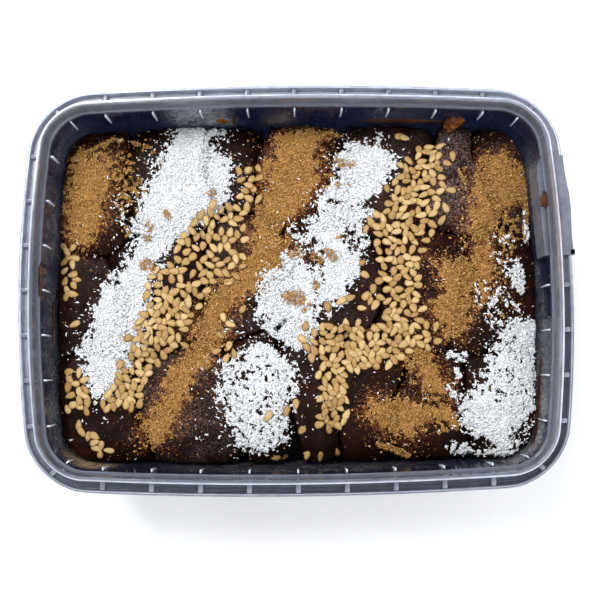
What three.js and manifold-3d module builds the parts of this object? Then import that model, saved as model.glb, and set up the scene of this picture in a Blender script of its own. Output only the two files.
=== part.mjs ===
// Ranginak in its tub: soft dates pressed side by side in three rows on a dark base layer, with bands
// of grated coconut, ground cinnamon and sesame seeds, in a clear plastic tub without its lid.
// Millimetres, +Z up. The origin is the middle of the tub's underside, +X runs along the tub and
// +Y across it, towards the far side as the tub is seen from above.

import * as THREE from 'three';
import { ConvexGeometry } from 'three/addons/geometries/ConvexGeometry.js';
import { mergeVertices } from 'three/addons/utils/BufferGeometryUtils.js';
import Module from 'manifold-3d';

// Outline of the collar, seen from above: a rounded rectangle whose four sides bow outwards
const HALF_LENGTH = 75;
const HALF_WIDTH = 55.8;
const CORNER_RADIUS = 14.9;
const END_BOW = 4.6;
const SIDE_BOW = 2.8;

// Heights of the tub
const TUB_HEIGHT = 48;
const COLLAR_TOP = 44.6;
const COLLAR_FOOT = 40.4;
const MOAT_FLOOR = 42.9;
const LEDGE_HEIGHT = 43.9;
const FLOOR_TOP = 0.9;

// Insets from the collar's outline
const COLLAR_THICKNESS = 0.8;
const RIM_OUTSIDE = 3.6;
const RIM_INSIDE = 4.7;
const WALL_AT_LEDGE = 5.7;
const WALL_AT_FLOOR = 7.6;
const WALL_THICKNESS = 0.8;
const FLOOR_FILLET = 3;
const UNDERSIDE_ROUND = 2.6;
const SHEET_THICKNESS = 0.9;

// Stacking ribs inside the wall and the webs across the moat, at the same places
const RIB_PITCH_LONG = 13;
const RIB_PITCH_SHORT = 12.2;
const RIBS_EACH_WAY_LONG = 4;
const RIBS_EACH_WAY_SHORT = 3;
const RIB = { width: 0.6, depth: 1.3, foot: 36 };
const WEB = { width: 1.8, top: 44.2 };

// Opening tab on the +X end, from its stub up to the corner
const TAB = {
  start: 8, end: 35.5, proud: 0.5, plateTop: 44.9, plateThickness: 1.1,
  step: 1.4, stepFoot: 34, stepFade: 3, stubWidth: 1.6, stubDepth: 1.4,
};

// How far moulded pieces of the tub reach into each other
const OVERLAP = 0.4;

// Base layer: the insets of the rings across its top, and the size of its swells
const CLEARANCE = 0.35;
const BED_TOP = 11.6;
const BED_SWELL = { height: 0.5, size: 6 };
const BED_RINGS = [9, 18, 34];

// Dates: the room that one would take alone, and how much one differs from the next in height and turn
const DATE_FOOT = 12.6;
const DATE_MIDDLE = 22.6;
const DATE_HALF_LENGTH = 27;
const DATE_END_AT_WALL = 51;
const DATE_FULLNESS = 0.72;
const DATE_SQUARENESS = 3;
const DATE_SHIFT = { up: 1.2, turn: 0.5 };
const NEIGHBOUR_REACH = 60;

// Sideways squeeze of the pressed dates: its size, the room in which it fades towards the wall, and its two
// waves, each with its length, how far it bends over what length, and where it starts
const SQUEEZE = { size: 2.2, fade: 8 };
const SQUEEZE_IN_X = { length: 9, bend: 0.7, bendLength: 13, start: 1.1 };
const SQUEEZE_IN_Y = { length: 11, bend: 0.8, bendLength: 10, start: 2.3 };
const SQUEEZE_TRIES = 6;

// Skin: its lumps, how sharply it is pressed, and how finely it is divided
const SKIN_LUMPS = { share: 0.03, size: 3.4 };
const PRESS_SHARPNESS = 20;
const SKIN_SHARPNESS = 10;
const DATE_DETAIL = 3;

// Each row runs along X: which side wall its dates' ends meet, where it ends, and for each date its left
// edge, the middle of its length in Y, and its top
const DATE_ROWS = [
  {
    name: 'back', wall: 1, end: 67,
    dates: [[-67, 30.5, 33.4], [-46, 33, 33.8], [-24, 35, 30], [-9.5, 31.5, 33.6], [14.5, 34, 33.2],
      [39.5, 30.5, 34], [54.5, 33.5, 32.4]],
  },
  {
    name: 'middle', wall: 0, end: 69,
    dates: [[-68, -4, 33.2], [-50.5, 1, 34.4], [-28, 3, 34], [-4, 5, 33.4], [22.5, -1, 34.6],
      [46, -3, 32.8]],
  },
  {
    name: 'front', wall: -1, end: 68,
    dates: [[-67.5, -34, 33.6], [-43, -31, 33.2], [-17, -28, 34], [-2.5, -25.5, 33], [13, -26, 32.8],
      [30, -31, 33.6], [49, -33, 34.6]],
  },
];

// Bands of topping as rows across them: [y, middle x, half width]
const COCONUT_BANDS = [
  [[49, -27.5, 6.5], [34, -30, 11.5], [26, -32, 12.5], [19, -37, 9], [12, -41.5, 6], [-2, -49, 7.5],
    [-16, -51.5, 8], [-29, -54.5, 3.5]],
  [[42, 19.5, 6], [31, 17.5, 9.5], [26, 14.5, 11], [20, 11.5, 9], [14, 6.5, 7.5], [7, 3, 9.5], [0, 0, 9.5],
    [-11, -1.5, 7], [-16, -1, 3]],
  [[-15, -8.5, 3], [-19, -11.5, 8.5], [-25, -11.5, 11], [-36, -11.5, 8.5], [-45, -11, 3]],
  [[-10, 64, 6], [-17, 62.5, 8], [-24, 61, 9.5], [-38, 56, 10.5], [-44, 55, 7], [-47, 54.5, 3]],
];
const CINNAMON_BANDS = [
  [[41, -54, 6.5], [37, -56, 7], [25, -60, 6], [19, -60, 5.5], [14, -64, 1.5]],
  [[45, 2.5, 9.5], [36, -1, 8.5], [26, -4.5, 6.5], [15, -7.5, 5.5], [10, -6.5, 7.5], [1, -15.5, 6.5],
    [-9, -23.5, 5], [-18, -27.5, 5.5], [-34, -38, 5.5], [-41, -39, 2.5]],
  [[39, 58.5, 4.5], [34, 58.5, 8], [28, 57.5, 9], [23, 53, 6.5], [11, 52, 4], [0, 54, 3.5]],
  [[8, 44, 5.5], [-9, 44.5, 6.5], [-13, 44.5, 4]],
  [[-15, 33, 3], [-20, 35, 3.5], [-30, 40, 3]],
  [[-30, 25.5, 6.5], [-34, 29.5, 11], [-39, 29, 6], [-42, 29, 3]],
];
const SESAME_BANDS = [
  [[36.5, -13.5, 4], [25.5, -13.5, 3]],
  [[25, -19.5, 6.5], [19, -23, 9], [13, -25, 11], [2, -24, 8]],
  [[6, -37.5, 3.5], [1, -33, 9.5], [-9, -38, 9.5], [-15, -39.5, 8.5], [-20, -44, 5.5], [-32, -49.5, 6]],
  [[13, -64, 2.5], [-1, -64, 2.5]],
  [[-22, -62.5, 3], [-28, -61.5, 4], [-33, -61, 3], [-45, -54, 3]],
  [[41, 38.5, 3.5], [36, 36.5, 7.5], [24, 34, 9], [18.5, 31, 11], [13, 29.5, 7], [-6, 29.5, 6.5],
    [-11, 31, 7.5]],
  [[-10, 21, 19.5], [-15.5, 19, 18], [-20, 17, 12], [-24, 10.5, 5.5], [-39, 9.5, 4]],
];

// Heaped coconut and cinnamon: full depth, and how fast it rises from the edge of a band
const COCONUT_HEAP = { depth: 1.1, rise: 2.2, rough: 0.25, lump: 3 };
const CINNAMON_HEAP = { depth: 0.45, rise: 2.5 };

// Single grains: their size, the room between them, and how far they sink into what they lie on
const SEED = {
  length: 3.1, width: 1.95, thickness: 1, sides: 6, pointed: 0.35, spacing: 3.7, sunk: 0.25, tries: 2800,
};
const FLAKE = {
  length: 2, width: 1.1, thickness: 0.8, sides: 4, pointed: 0, spacing: 8, sunk: 0.25, tries: 900,
};
const GRAIN_RIDGE = 0.2;
const GRAIN_COVER = 0.08;
const GRAIN_LOWEST = DATE_MIDDLE + 4;

const wasm = await Module();
wasm.setup();

function toSolid(geometry) {
  const plain = geometry.clone();
  plain.deleteAttribute('normal');
  plain.deleteAttribute('uv');
  const merged = mergeVertices(plain, 1e-5);
  return new wasm.Manifold(new wasm.Mesh({
    numProp: 3,
    vertProperties: new Float32Array(merged.attributes.position.array),
    triVerts: new Uint32Array(merged.index.array),
  }));
}

function toGeometry(solid) {
  const mesh = solid.getMesh();
  const geometry = new THREE.BufferGeometry();
  geometry.setAttribute('position', new THREE.BufferAttribute(mesh.vertProperties, 3));
  geometry.setIndex(new THREE.BufferAttribute(mesh.triVerts, 1));
  geometry.computeVertexNormals();
  return geometry;
}

// Seeded draw in 0..1, so that every build scatters alike
function makeDraw(seed) {
  let state = seed;
  return () => {
    state = (Math.imul(state, 1664525) + 1013904223) >>> 0;
    return state / 4294967296;
  };
}

// Smooth unevenness in about -1..1, with lumps some millimetres across
function unevenness(x, y, z, scale) {
  const a = Math.sin(x / scale + 1.7 * Math.sin(y / scale + 0.6));
  const b = Math.sin(y / scale * 1.3 + 1.4 * Math.sin(z / scale + 2.1));
  const c = Math.sin(z / scale * 1.1 + 1.6 * Math.sin(x / scale * 0.8 + 4.2));
  return (a + b + c) / 3;
}

// How far inside the outline a point lies
function depthInside(x, y) {
  const overX = Math.abs(x) + END_BOW * (y / HALF_WIDTH) ** 2 - (HALF_LENGTH - CORNER_RADIUS);
  const overY = Math.abs(y) + SIDE_BOW * (x / HALF_LENGTH) ** 2 - (HALF_WIDTH - CORNER_RADIUS);
  const over = overX > 0 && overY > 0 ? Math.hypot(overX, overY) : Math.max(overX, overY);
  return CORNER_RADIUS - over;
}

// Distance from the middle to the outline, drawn in by inset, at a polar angle
function reach(angle, inset) {
  let low = 0;
  let high = HALF_LENGTH + HALF_WIDTH;
  for (let i = 0; i < 40; i += 1) {
    const middle = (low + high) / 2;
    if (depthInside(middle * Math.cos(angle), middle * Math.sin(angle)) > inset) {
      low = middle;
    } else {
      high = middle;
    }
  }
  return low;
}

// Polar angles round the tub, close together at the corners
function ringAngles() {
  const cornerStart = Math.atan2(HALF_WIDTH - CORNER_RADIUS, HALF_LENGTH);
  const cornerEnd = Math.atan2(HALF_WIDTH, HALF_LENGTH - CORNER_RADIUS);
  const spans = [[0, cornerStart, 2], [cornerStart, cornerEnd, 5], [cornerEnd, Math.PI / 2, 3]];
  const quarter = [];
  for (const [from, to, count] of spans) {
    for (let i = 0; i < count; i += 1) {
      quarter.push(from + (to - from) * i / count);
    }
  }
  const half = [...quarter, Math.PI / 2, ...quarter.slice(1).reverse().map((angle) => Math.PI - angle)];
  return [...half, ...half.map((angle) => angle + Math.PI)];
}
const ANGLES = ringAngles();

function ring(inset, height) {
  return ANGLES.map((angle) => {
    const distance = reach(angle, inset);
    const x = distance * Math.cos(angle);
    const y = distance * Math.sin(angle);
    return [x, y, typeof height === 'function' ? height(x, y) : height];
  });
}

// Closed skin through a list of rings, with a flat fan at each end
function loft(rings) {
  const count = rings[0].length;
  const positions = rings.flat(2);
  const index = [];
  for (let r = 0; r + 1 < rings.length; r += 1) {
    for (let i = 0; i < count; i += 1) {
      const next = (i + 1) % count;
      const a = r * count + i;
      const b = r * count + next;
      const c = a + count;
      const d = b + count;
      index.push(a, b, d, a, d, c);
    }
  }
  const last = (rings.length - 1) * count;
  for (let i = 1; i + 1 < count; i += 1) {
    index.push(0, i + 1, i);
    index.push(last, last + i, last + i + 1);
  }
  const geometry = new THREE.BufferGeometry();
  geometry.setAttribute('position', new THREE.Float32BufferAttribute(positions, 3));
  geometry.setIndex(index);
  return geometry;
}

// Inset of the tub's inner wall at a height
function wallInset(z) {
  const share = (LEDGE_HEIGHT - z) / (LEDGE_HEIGHT - FLOOR_TOP);
  return WALL_AT_LEDGE + (WALL_AT_FLOOR - WALL_AT_LEDGE) * share;
}

// Places of the ribs and webs: a point on the outline at an inset and the way out from it
function ribPlaces(inset) {
  const places = [];
  for (let k = -RIBS_EACH_WAY_LONG; k <= RIBS_EACH_WAY_LONG; k += 1) {
    const x = k * RIB_PITCH_LONG;
    const y = HALF_WIDTH - inset - SIDE_BOW * (x / HALF_LENGTH) ** 2;
    places.push({ x, y, turn: Math.PI / 2 }, { x, y: -y, turn: -Math.PI / 2 });
  }
  for (let k = -RIBS_EACH_WAY_SHORT; k <= RIBS_EACH_WAY_SHORT; k += 1) {
    const y = k * RIB_PITCH_SHORT;
    const x = HALF_LENGTH - inset - END_BOW * (y / HALF_WIDTH) ** 2;
    places.push({ x, y, turn: 0 }, { x: -x, y, turn: Math.PI });
  }
  const corner = Math.atan2(HALF_WIDTH - SIDE_BOW, HALF_LENGTH - END_BOW);
  for (const angle of [corner, Math.PI - corner, Math.PI + corner, -corner]) {
    const distance = reach(angle, inset);
    const turn = Math.atan2(Math.sign(Math.sin(angle)), Math.sign(Math.cos(angle)));
    places.push({ x: distance * Math.cos(angle), y: distance * Math.sin(angle), turn });
  }
  return places;
}

// Upright block that reaches from its place inwards and outwards
function block(place, inwards, outwards, width, foot, top) {
  const geometry = new THREE.BoxGeometry(inwards + outwards, width, top - foot);
  geometry.translate((outwards - inwards) / 2, 0, (top + foot) / 2);
  geometry.rotateZ(place.turn);
  geometry.translate(place.x, place.y, 0);
  return geometry;
}

function onTab(place) {
  return place.turn === 0 && place.y > TAB.start - WEB.width && place.y < TAB.end + WEB.width;
}

// Section of the shell as insets and heights: up the outside, over the collar, the moat and the rim, and
// down the inside
function tubShell() {
  const outerAtLedge = WALL_AT_LEDGE - WALL_THICKNESS;
  const outerAtFloor = WALL_AT_FLOOR - WALL_THICKNESS;
  const sheetFoot = MOAT_FLOOR - SHEET_THICKNESS;
  const profile = [
    [outerAtFloor + UNDERSIDE_ROUND, 0],
    [outerAtFloor + 0.7, 0.6],
    [outerAtFloor, 2.2],
    [outerAtLedge + 0.1, sheetFoot - 1],
    [outerAtLedge - 0.5, sheetFoot],
    [COLLAR_THICKNESS + 0.1, sheetFoot],
    [COLLAR_THICKNESS, COLLAR_FOOT],
    [0, COLLAR_FOOT],
    [0, COLLAR_TOP - 0.2],
    [COLLAR_THICKNESS, COLLAR_TOP],
    [COLLAR_THICKNESS + 0.1, MOAT_FLOOR],
    [RIM_OUTSIDE - 0.2, MOAT_FLOOR],
    [RIM_OUTSIDE, TUB_HEIGHT - 0.7],
    [(RIM_OUTSIDE + RIM_INSIDE) / 2, TUB_HEIGHT],
    [RIM_INSIDE, TUB_HEIGHT - 0.5],
    [RIM_INSIDE + 0.5, LEDGE_HEIGHT + 0.5],
    [WALL_AT_LEDGE, LEDGE_HEIGHT],
    [wallInset(FLOOR_FILLET), FLOOR_FILLET],
    [WALL_AT_FLOOR + 0.8, FLOOR_TOP + 0.6],
    [WALL_AT_FLOOR + UNDERSIDE_ROUND, FLOOR_TOP],
  ];
  return loft(profile.map(([inset, height]) => ring(inset, height)));
}

// Place across the +X end, which bows with the outline
function endX(y, inset) {
  return HALF_LENGTH - inset - END_BOW * (y / HALF_WIDTH) ** 2;
}

// Step in the wall behind the opening tab, flush with the ledge and fading into the wall below
function tabStep() {
  const section = (step, z) => {
    const full = TAB.end - TAB.stepFade;
    return [
      [endX(TAB.start, wallInset(z) - OVERLAP), TAB.start, z],
      [endX(TAB.end, wallInset(z) - OVERLAP), TAB.end, z],
      [endX(TAB.end, wallInset(z)), TAB.end, z],
      [endX(full, wallInset(z) + step), full, z],
      [endX(TAB.start, wallInset(z) + step), TAB.start, z],
    ];
  };
  return loft([
    section(0, TAB.stepFoot),
    section(TAB.step, TAB.stepFoot + TAB.stepFade),
    section(TAB.step, LEDGE_HEIGHT),
  ]);
}

// Flat plate of the tab over the moat, less proud of the collar towards the corner
function tabPlate() {
  const outline = (z) => {
    const inner = RIM_OUTSIDE + OVERLAP;
    const middle = (TAB.start + TAB.end) / 2;
    return [
      [endX(TAB.start, inner), TAB.start, z],
      [endX(TAB.start, -TAB.proud), TAB.start, z],
      [endX(middle, -TAB.proud * 0.7), middle, z],
      [endX(TAB.end, -TAB.proud * 0.5), TAB.end, z],
      [endX(TAB.end, inner), TAB.end, z],
      [endX(middle, inner), middle, z],
    ];
  };
  return loft([outline(TAB.plateTop - TAB.plateThickness), outline(TAB.plateTop)]);
}

// Stub at the tab's lower end, where it is pulled
function tabStub() {
  const outer = HALF_LENGTH + TAB.proud + OVERLAP / 2;
  const place = { x: outer, y: TAB.start + TAB.stubWidth / 2, turn: 0 };
  return block(place, TAB.stubDepth, 0, TAB.stubWidth, COLLAR_FOOT + OVERLAP, TAB.plateTop);
}

function makeTub() {
  const pieces = [tabStep(), tabPlate(), tabStub()];
  for (const place of ribPlaces(wallInset(RIB.foot)).filter((each) => !onTab(each))) {
    pieces.push(block(place, RIB.depth - OVERLAP, OVERLAP, RIB.width, RIB.foot, LEDGE_HEIGHT));
  }
  const span = RIM_OUTSIDE - COLLAR_THICKNESS + OVERLAP;
  for (const place of ribPlaces(COLLAR_THICKNESS).filter((each) => !onTab(each))) {
    pieces.push(block(place, span, OVERLAP, WEB.width, MOAT_FLOOR - OVERLAP, WEB.top));
  }
  let solid = toSolid(tubShell());
  for (const piece of pieces) {
    solid = solid.add(toSolid(piece));
  }
  return toGeometry(solid);
}

// Ring across the base layer's top: past what the corners' radius allows, the last ring drawn smaller
function bedTopRing(inset) {
  const allowed = Math.min(inset, CORNER_RADIUS - 4);
  const share = (HALF_WIDTH - inset) / (HALF_WIDTH - allowed);
  return ring(allowed, 0).map((corner) => {
    const [x, y] = corner.map((length) => length * share);
    return [x, y, BED_TOP + BED_SWELL.height * unevenness(x, y, 0, BED_SWELL.size)];
  });
}

// Base layer that the dates are pressed on, rounded as the tub's floor is
function makeBed() {
  const wallFoot = FLOOR_FILLET + OVERLAP;
  const shoulder = 1;
  return loft([
    ring(WALL_AT_FLOOR + UNDERSIDE_ROUND + CLEARANCE, FLOOR_TOP + CLEARANCE),
    ring(WALL_AT_FLOOR + UNDERSIDE_ROUND / 2, FLOOR_TOP + 3 * CLEARANCE),
    ring(wallInset(FLOOR_FILLET) + CLEARANCE, wallFoot),
    ring(wallInset(BED_TOP) + CLEARANCE, BED_TOP - shoulder),
    ...BED_RINGS.map(bedTopRing),
  ]);
}

// Flat facets of the inner wall, each as a point on it and the way out
function wallFacets() {
  const low = ring(wallInset(BED_TOP) + CLEARANCE, BED_TOP);
  const high = ring(wallInset(LEDGE_HEIGHT) + CLEARANCE, LEDGE_HEIGHT);
  return low.map((point, i) => {
    const start = new THREE.Vector3(...point);
    const along = new THREE.Vector3(...low[(i + 1) % low.length]).sub(start);
    const up = new THREE.Vector3(...high[i]).sub(start);
    return { point: start, normal: along.cross(up).normalize() };
  });
}
const WALL_FACETS = wallFacets();

// How far inside a topping band a point lies: 1 on its middle line, 0 at its edge
function bandCover(bands, x, y) {
  let best = 0;
  for (const band of bands) {
    for (let i = 0; i + 1 < band.length; i += 1) {
      const [topY, topX, topHalf] = band[i];
      const [lowY, lowX, lowHalf] = band[i + 1];
      if (y <= topY && y >= lowY) {
        const share = (topY - y) / (topY - lowY);
        const middle = topX + (lowX - topX) * share;
        const half = topHalf + (lowHalf - topHalf) * share;
        best = Math.max(best, 1 - Math.abs(x - middle) / half);
      }
    }
  }
  return best;
}

// Depth of the heaped coconut and cinnamon at a point
function heapDepth(x, y) {
  const coconut = Math.min(1, COCONUT_HEAP.rise * bandCover(COCONUT_BANDS, x, y));
  const cinnamon = Math.min(1, CINNAMON_HEAP.rise * bandCover(CINNAMON_BANDS, x, y));
  const rough = 1 - COCONUT_HEAP.rough * (1 - unevenness(x, y, COCONUT_HEAP.lump, 0.9));
  return Math.max(COCONUT_HEAP.depth * coconut * rough, CINNAMON_HEAP.depth * cinnamon);
}

function listDates() {
  const draw = makeDraw(562);
  const shift = (size) => size * (draw() - 0.5);
  const dates = [];
  for (const row of DATE_ROWS) {
    row.dates.forEach(([left, y, top], i) => {
      const right = i + 1 < row.dates.length ? row.dates[i + 1][0] : row.end;
      const width = right - left;
      const z = DATE_MIDDLE + shift(DATE_SHIFT.up);
      dates.push({
        name: `date_${row.name}_${i + 1}`,
        wall: row.wall,
        centre: new THREE.Vector3((left + right) / 2, y, z),
        half: new THREE.Vector3(DATE_FULLNESS * width, DATE_HALF_LENGTH, top - DATE_MIDDLE),
        turn: shift(DATE_SHIFT.turn),
        girth: width / 2,
      });
    });
  }
  return dates;
}
const DATES = listDates();

function wave(shape, along, across) {
  const bend = shape.bend * Math.sin(across / shape.bendLength);
  return Math.sin(along / shape.length + bend + shape.start);
}

// Sideways push that bends the boundaries between the dates, and fades out towards the wall
function push(x, y) {
  const room = (depthInside(x, y) - WALL_AT_FLOOR) / SQUEEZE.fade;
  const size = SQUEEZE.size * Math.min(1, Math.max(0, room));
  return { x: size * wave(SQUEEZE_IN_X, y, x), y: size * wave(SQUEEZE_IN_Y, x, y) };
}

function pushed(point) {
  const { x, y } = push(point.x, point.y);
  return new THREE.Vector3(point.x + x, point.y + y, point.z);
}

// Place that a point had before it was pushed, found by trying again from the last place
function beforePush(point) {
  let before = point;
  for (let i = 0; i < SQUEEZE_TRIES; i += 1) {
    const { x, y } = push(before.x, before.y);
    before = new THREE.Vector3(point.x - x, point.y - y, point.z);
  }
  return before;
}

// Flat boundaries between a date and each neighbour, as the way to it and the distance
function boundaries(date) {
  const planes = [];
  for (const other of DATES) {
    const between = other.centre.clone().sub(date.centre);
    const gap = between.length();
    if (other !== date && gap < NEIGHBOUR_REACH) {
      const distance = (gap * gap + date.girth ** 2 - other.girth ** 2) / (2 * gap);
      planes.push({ normal: between.divideScalar(gap), distance: distance - CLEARANCE / 2 });
    }
  }
  return planes;
}

// Least of several distances, rounded where two of them come close
function softLeast(distances, sharpness) {
  const total = distances.reduce((sum, distance) => sum + distance ** -sharpness, 0);
  return total ** (-1 / sharpness);
}

// Distance from a date's centre to the plump skin that it would have alone, with what is heaped on it
function freeReach(date, way) {
  const cos = Math.cos(date.turn);
  const sin = Math.sin(date.turn);
  const toWall = DATE_END_AT_WALL - Math.abs(date.centre.y);
  const halfLength = way.y * date.wall > 0 ? toWall : date.half.y;
  const plump = Math.abs((way.x * cos + way.y * sin) / date.half.x) ** DATE_SQUARENESS
    + Math.abs((way.y * cos - way.x * sin) / halfLength) ** DATE_SQUARENESS
    + Math.abs(way.z / date.half.z) ** DATE_SQUARENESS;
  const free = plump ** (-1 / DATE_SQUARENESS);
  const skin = pushed(date.centre.clone().addScaledVector(way, free));
  const lumps = 1 + SKIN_LUMPS.share * unevenness(skin.x, skin.y, skin.z, SKIN_LUMPS.size);
  return free * lumps + Math.max(0, way.z) * heapDepth(skin.x, skin.y);
}

// Distance from a date's centre to its skin, pressed flat by the wall, the neighbours and the bed
function dateReach(date, planes, way) {
  const stops = [];
  let wall = Infinity;
  for (const facet of WALL_FACETS) {
    const rate = facet.normal.dot(way);
    if (rate > 0) {
      wall = Math.min(wall, facet.point.clone().sub(date.centre).dot(facet.normal) / rate);
    }
  }
  stops.push(wall);
  for (const plane of planes) {
    const rate = plane.normal.dot(way);
    if (rate > 0) {
      stops.push(plane.distance / rate);
    }
  }
  if (way.z < 0) {
    stops.push((date.centre.z - DATE_FOOT) / -way.z);
  }
  return softLeast([freeReach(date, way), softLeast(stops, PRESS_SHARPNESS)], SKIN_SHARPNESS);
}

function dateBody(date, planes) {
  const sphere = new THREE.IcosahedronGeometry(1, DATE_DETAIL);
  sphere.deleteAttribute('normal');
  sphere.deleteAttribute('uv');
  const geometry = mergeVertices(sphere, 1e-4);
  const position = geometry.attributes.position;
  const way = new THREE.Vector3();
  for (let i = 0; i < position.count; i += 1) {
    way.fromBufferAttribute(position, i).multiply(date.half).normalize();
    const point = date.centre.clone().addScaledVector(way, dateReach(date, planes, way));
    position.setXYZ(i, ...pushed(point).toArray());
  }
  return geometry;
}

// Drop-shaped grain lying in the XY plane, round at one end and narrow at the other, with a short ridge
function grain(size) {
  const ridge = GRAIN_RIDGE * size.length;
  const points = [-ridge, ridge].map((x) => new THREE.Vector3(x, 0, size.thickness / 2));
  for (let i = 0; i < size.sides; i += 1) {
    const angle = 2 * Math.PI * i / size.sides;
    const narrow = 1 - size.pointed * (1 + Math.cos(angle)) / 2;
    const x = size.length / 2 * Math.cos(angle);
    const y = size.width / 2 * Math.sin(angle) * narrow;
    points.push(new THREE.Vector3(x, y, -size.thickness / 2));
  }
  return new ConvexGeometry(points);
}

// Grain turned to lie on the skin at a place, its underside sunk into the skin
function layGrain(shape, point, normal, turn, size) {
  const laid = shape.clone();
  laid.rotateZ(turn);
  laid.applyQuaternion(new THREE.Quaternion().setFromUnitVectors(new THREE.Vector3(0, 0, 1), normal));
  const place = point.clone().addScaledVector(normal, size.thickness / 2 - size.sunk);
  laid.translate(place.x, place.y, place.z);
  return laid;
}

// Whether a grain keeps to its own date's room, clear of the neighbours and the wall
function isClear(geometry, date, planes) {
  const position = geometry.attributes.position;
  const point = new THREE.Vector3();
  for (let i = 0; i < position.count; i += 1) {
    point.fromBufferAttribute(position, i);
    const fromCentre = beforePush(point).sub(date.centre);
    if (planes.some((plane) => fromCentre.dot(plane.normal) > plane.distance)) {
      return false;
    }
    if (WALL_FACETS.some((facet) => point.clone().sub(facet.point).dot(facet.normal) > 0)) {
      return false;
    }
  }
  return true;
}

// Scatter grains over bands: darts thrown by a seeded draw, each kept a spacing from the last ones
function scatter(bodies, bands, size, seed) {
  const draw = makeDraw(seed);
  const shape = grain(size);
  const caster = new THREE.Raycaster();
  const down = new THREE.Vector3(0, 0, -1);
  const meshes = bodies.map((body) => body.mesh);
  const kept = [];
  for (let i = 0; i < size.tries; i += 1) {
    const x = HALF_LENGTH * (2 * draw() - 1);
    const y = HALF_WIDTH * (2 * draw() - 1);
    const turn = 2 * Math.PI * draw();
    const crowded = kept.some((other) => Math.hypot(other.x - x, other.y - y) < size.spacing);
    if (!crowded && bandCover(bands, x, y) > GRAIN_COVER) {
      caster.set(new THREE.Vector3(x, y, 2 * TUB_HEIGHT), down);
      const found = caster.intersectObjects(meshes, false)[0];
      if (found && found.point.z > GRAIN_LOWEST) {
        const body = bodies[meshes.indexOf(found.object)];
        const laid = layGrain(shape, found.point, found.face.normal, turn, size);
        if (isClear(laid, body.date, body.planes)) {
          body.grains.push(laid);
          kept.push({ x, y });
        }
      }
    }
  }
}

function makeDates() {
  const bodies = DATES.map((date) => {
    const planes = boundaries(date);
    return { date, planes, mesh: new THREE.Mesh(dateBody(date, planes)), grains: [] };
  });
  scatter(bodies, SESAME_BANDS, SEED, 31);
  scatter(bodies, COCONUT_BANDS, FLAKE, 47);
  return bodies.map((body) => {
    let solid = toSolid(body.mesh.geometry);
    for (const laid of body.grains) {
      solid = solid.add(toSolid(laid));
    }
    return { name: body.date.name, geometry: toGeometry(solid) };
  });
}

const plastic = () => new THREE.MeshStandardMaterial({
  color: 0x4a5069, roughness: 0.12, metalness: 0, transparent: true, opacity: 0.5,
});
const paste = () => new THREE.MeshStandardMaterial({ color: 0x2a1812, roughness: 0.6, metalness: 0 });
const dateSkin = () => new THREE.MeshStandardMaterial({ color: 0x3a2019, roughness: 0.45, metalness: 0 });

const group = new THREE.Group();

function addPiece(name, geometry, material) {
  const mesh = new THREE.Mesh(geometry, material);
  mesh.name = name;
  group.add(mesh);
}

addPiece('tub', makeTub(), plastic());
addPiece('bed', makeBed(), paste());
for (const date of makeDates()) {
  addPiece(date.name, date.geometry, dateSkin());
}

export default group;
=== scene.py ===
# Ranginak in its tub: pressed dates under bands of grated coconut, ground cinnamon and sesame seeds.
# Shapes are worked out in millimetres in the part's own frame and turned to metres as meshes are made.

import math

import bmesh
import bpy
import numpy as np
from mathutils import Matrix, Vector
from mathutils.bvhtree import BVHTree


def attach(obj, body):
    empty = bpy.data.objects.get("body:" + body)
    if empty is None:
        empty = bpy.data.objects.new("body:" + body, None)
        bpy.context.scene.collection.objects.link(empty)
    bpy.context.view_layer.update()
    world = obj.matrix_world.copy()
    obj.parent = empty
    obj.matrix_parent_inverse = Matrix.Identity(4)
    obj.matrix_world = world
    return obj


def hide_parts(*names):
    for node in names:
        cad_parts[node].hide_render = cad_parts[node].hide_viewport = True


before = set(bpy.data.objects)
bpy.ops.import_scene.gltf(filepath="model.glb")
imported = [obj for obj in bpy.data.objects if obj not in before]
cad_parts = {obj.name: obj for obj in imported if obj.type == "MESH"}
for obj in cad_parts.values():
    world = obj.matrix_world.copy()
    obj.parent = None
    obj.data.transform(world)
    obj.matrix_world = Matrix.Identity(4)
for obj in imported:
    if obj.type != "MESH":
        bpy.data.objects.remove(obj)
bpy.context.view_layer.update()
MM = 0.001

# Camera: where the photograph was taken from, its turns in radians and its focal length in pixels
CAMERA_PLACE = (-0.8, -22.2, 274.7)
CAMERA_TURNS = (-0.0809, 0.0076, 0.0101)
FOCAL_PIXELS = 856.6
IMAGE_PIXELS = 600
SENSOR = 36.0

# Stage in metres: the floor's side, and each light's name, place, size and watts
FLOOR_SIDE = 6.0
LIGHTS = [("key", (-0.27, 0.35, 0.72), 0.3, 6.5), ("fill", (0.5, -0.4, 0.6), 0.6, 3)]

# Outline of the collar, seen from above: a rounded rectangle whose four sides bow outwards
HALF_LENGTH = 75.0
HALF_WIDTH = 55.8
CORNER_RADIUS = 14.9
END_BOW = 4.6
SIDE_BOW = 2.8

# Heights of the tub, and insets from the collar's outline
TUB_HEIGHT = 48.0
COLLAR_TOP = 44.6
COLLAR_FOOT = 40.4
MOAT_FLOOR = 42.9
LEDGE_HEIGHT = 43.9
FLOOR_TOP = 0.9
COLLAR_THICKNESS = 0.8
RIM_OUTSIDE = 3.6
RIM_INSIDE = 4.7
WALL_AT_LEDGE = 5.7
WALL_AT_FLOOR = 7.6
WALL_THICKNESS = 0.8
FLOOR_FILLET = 3.0
UNDERSIDE_ROUND = 2.6
SHEET_THICKNESS = 0.9

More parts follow.
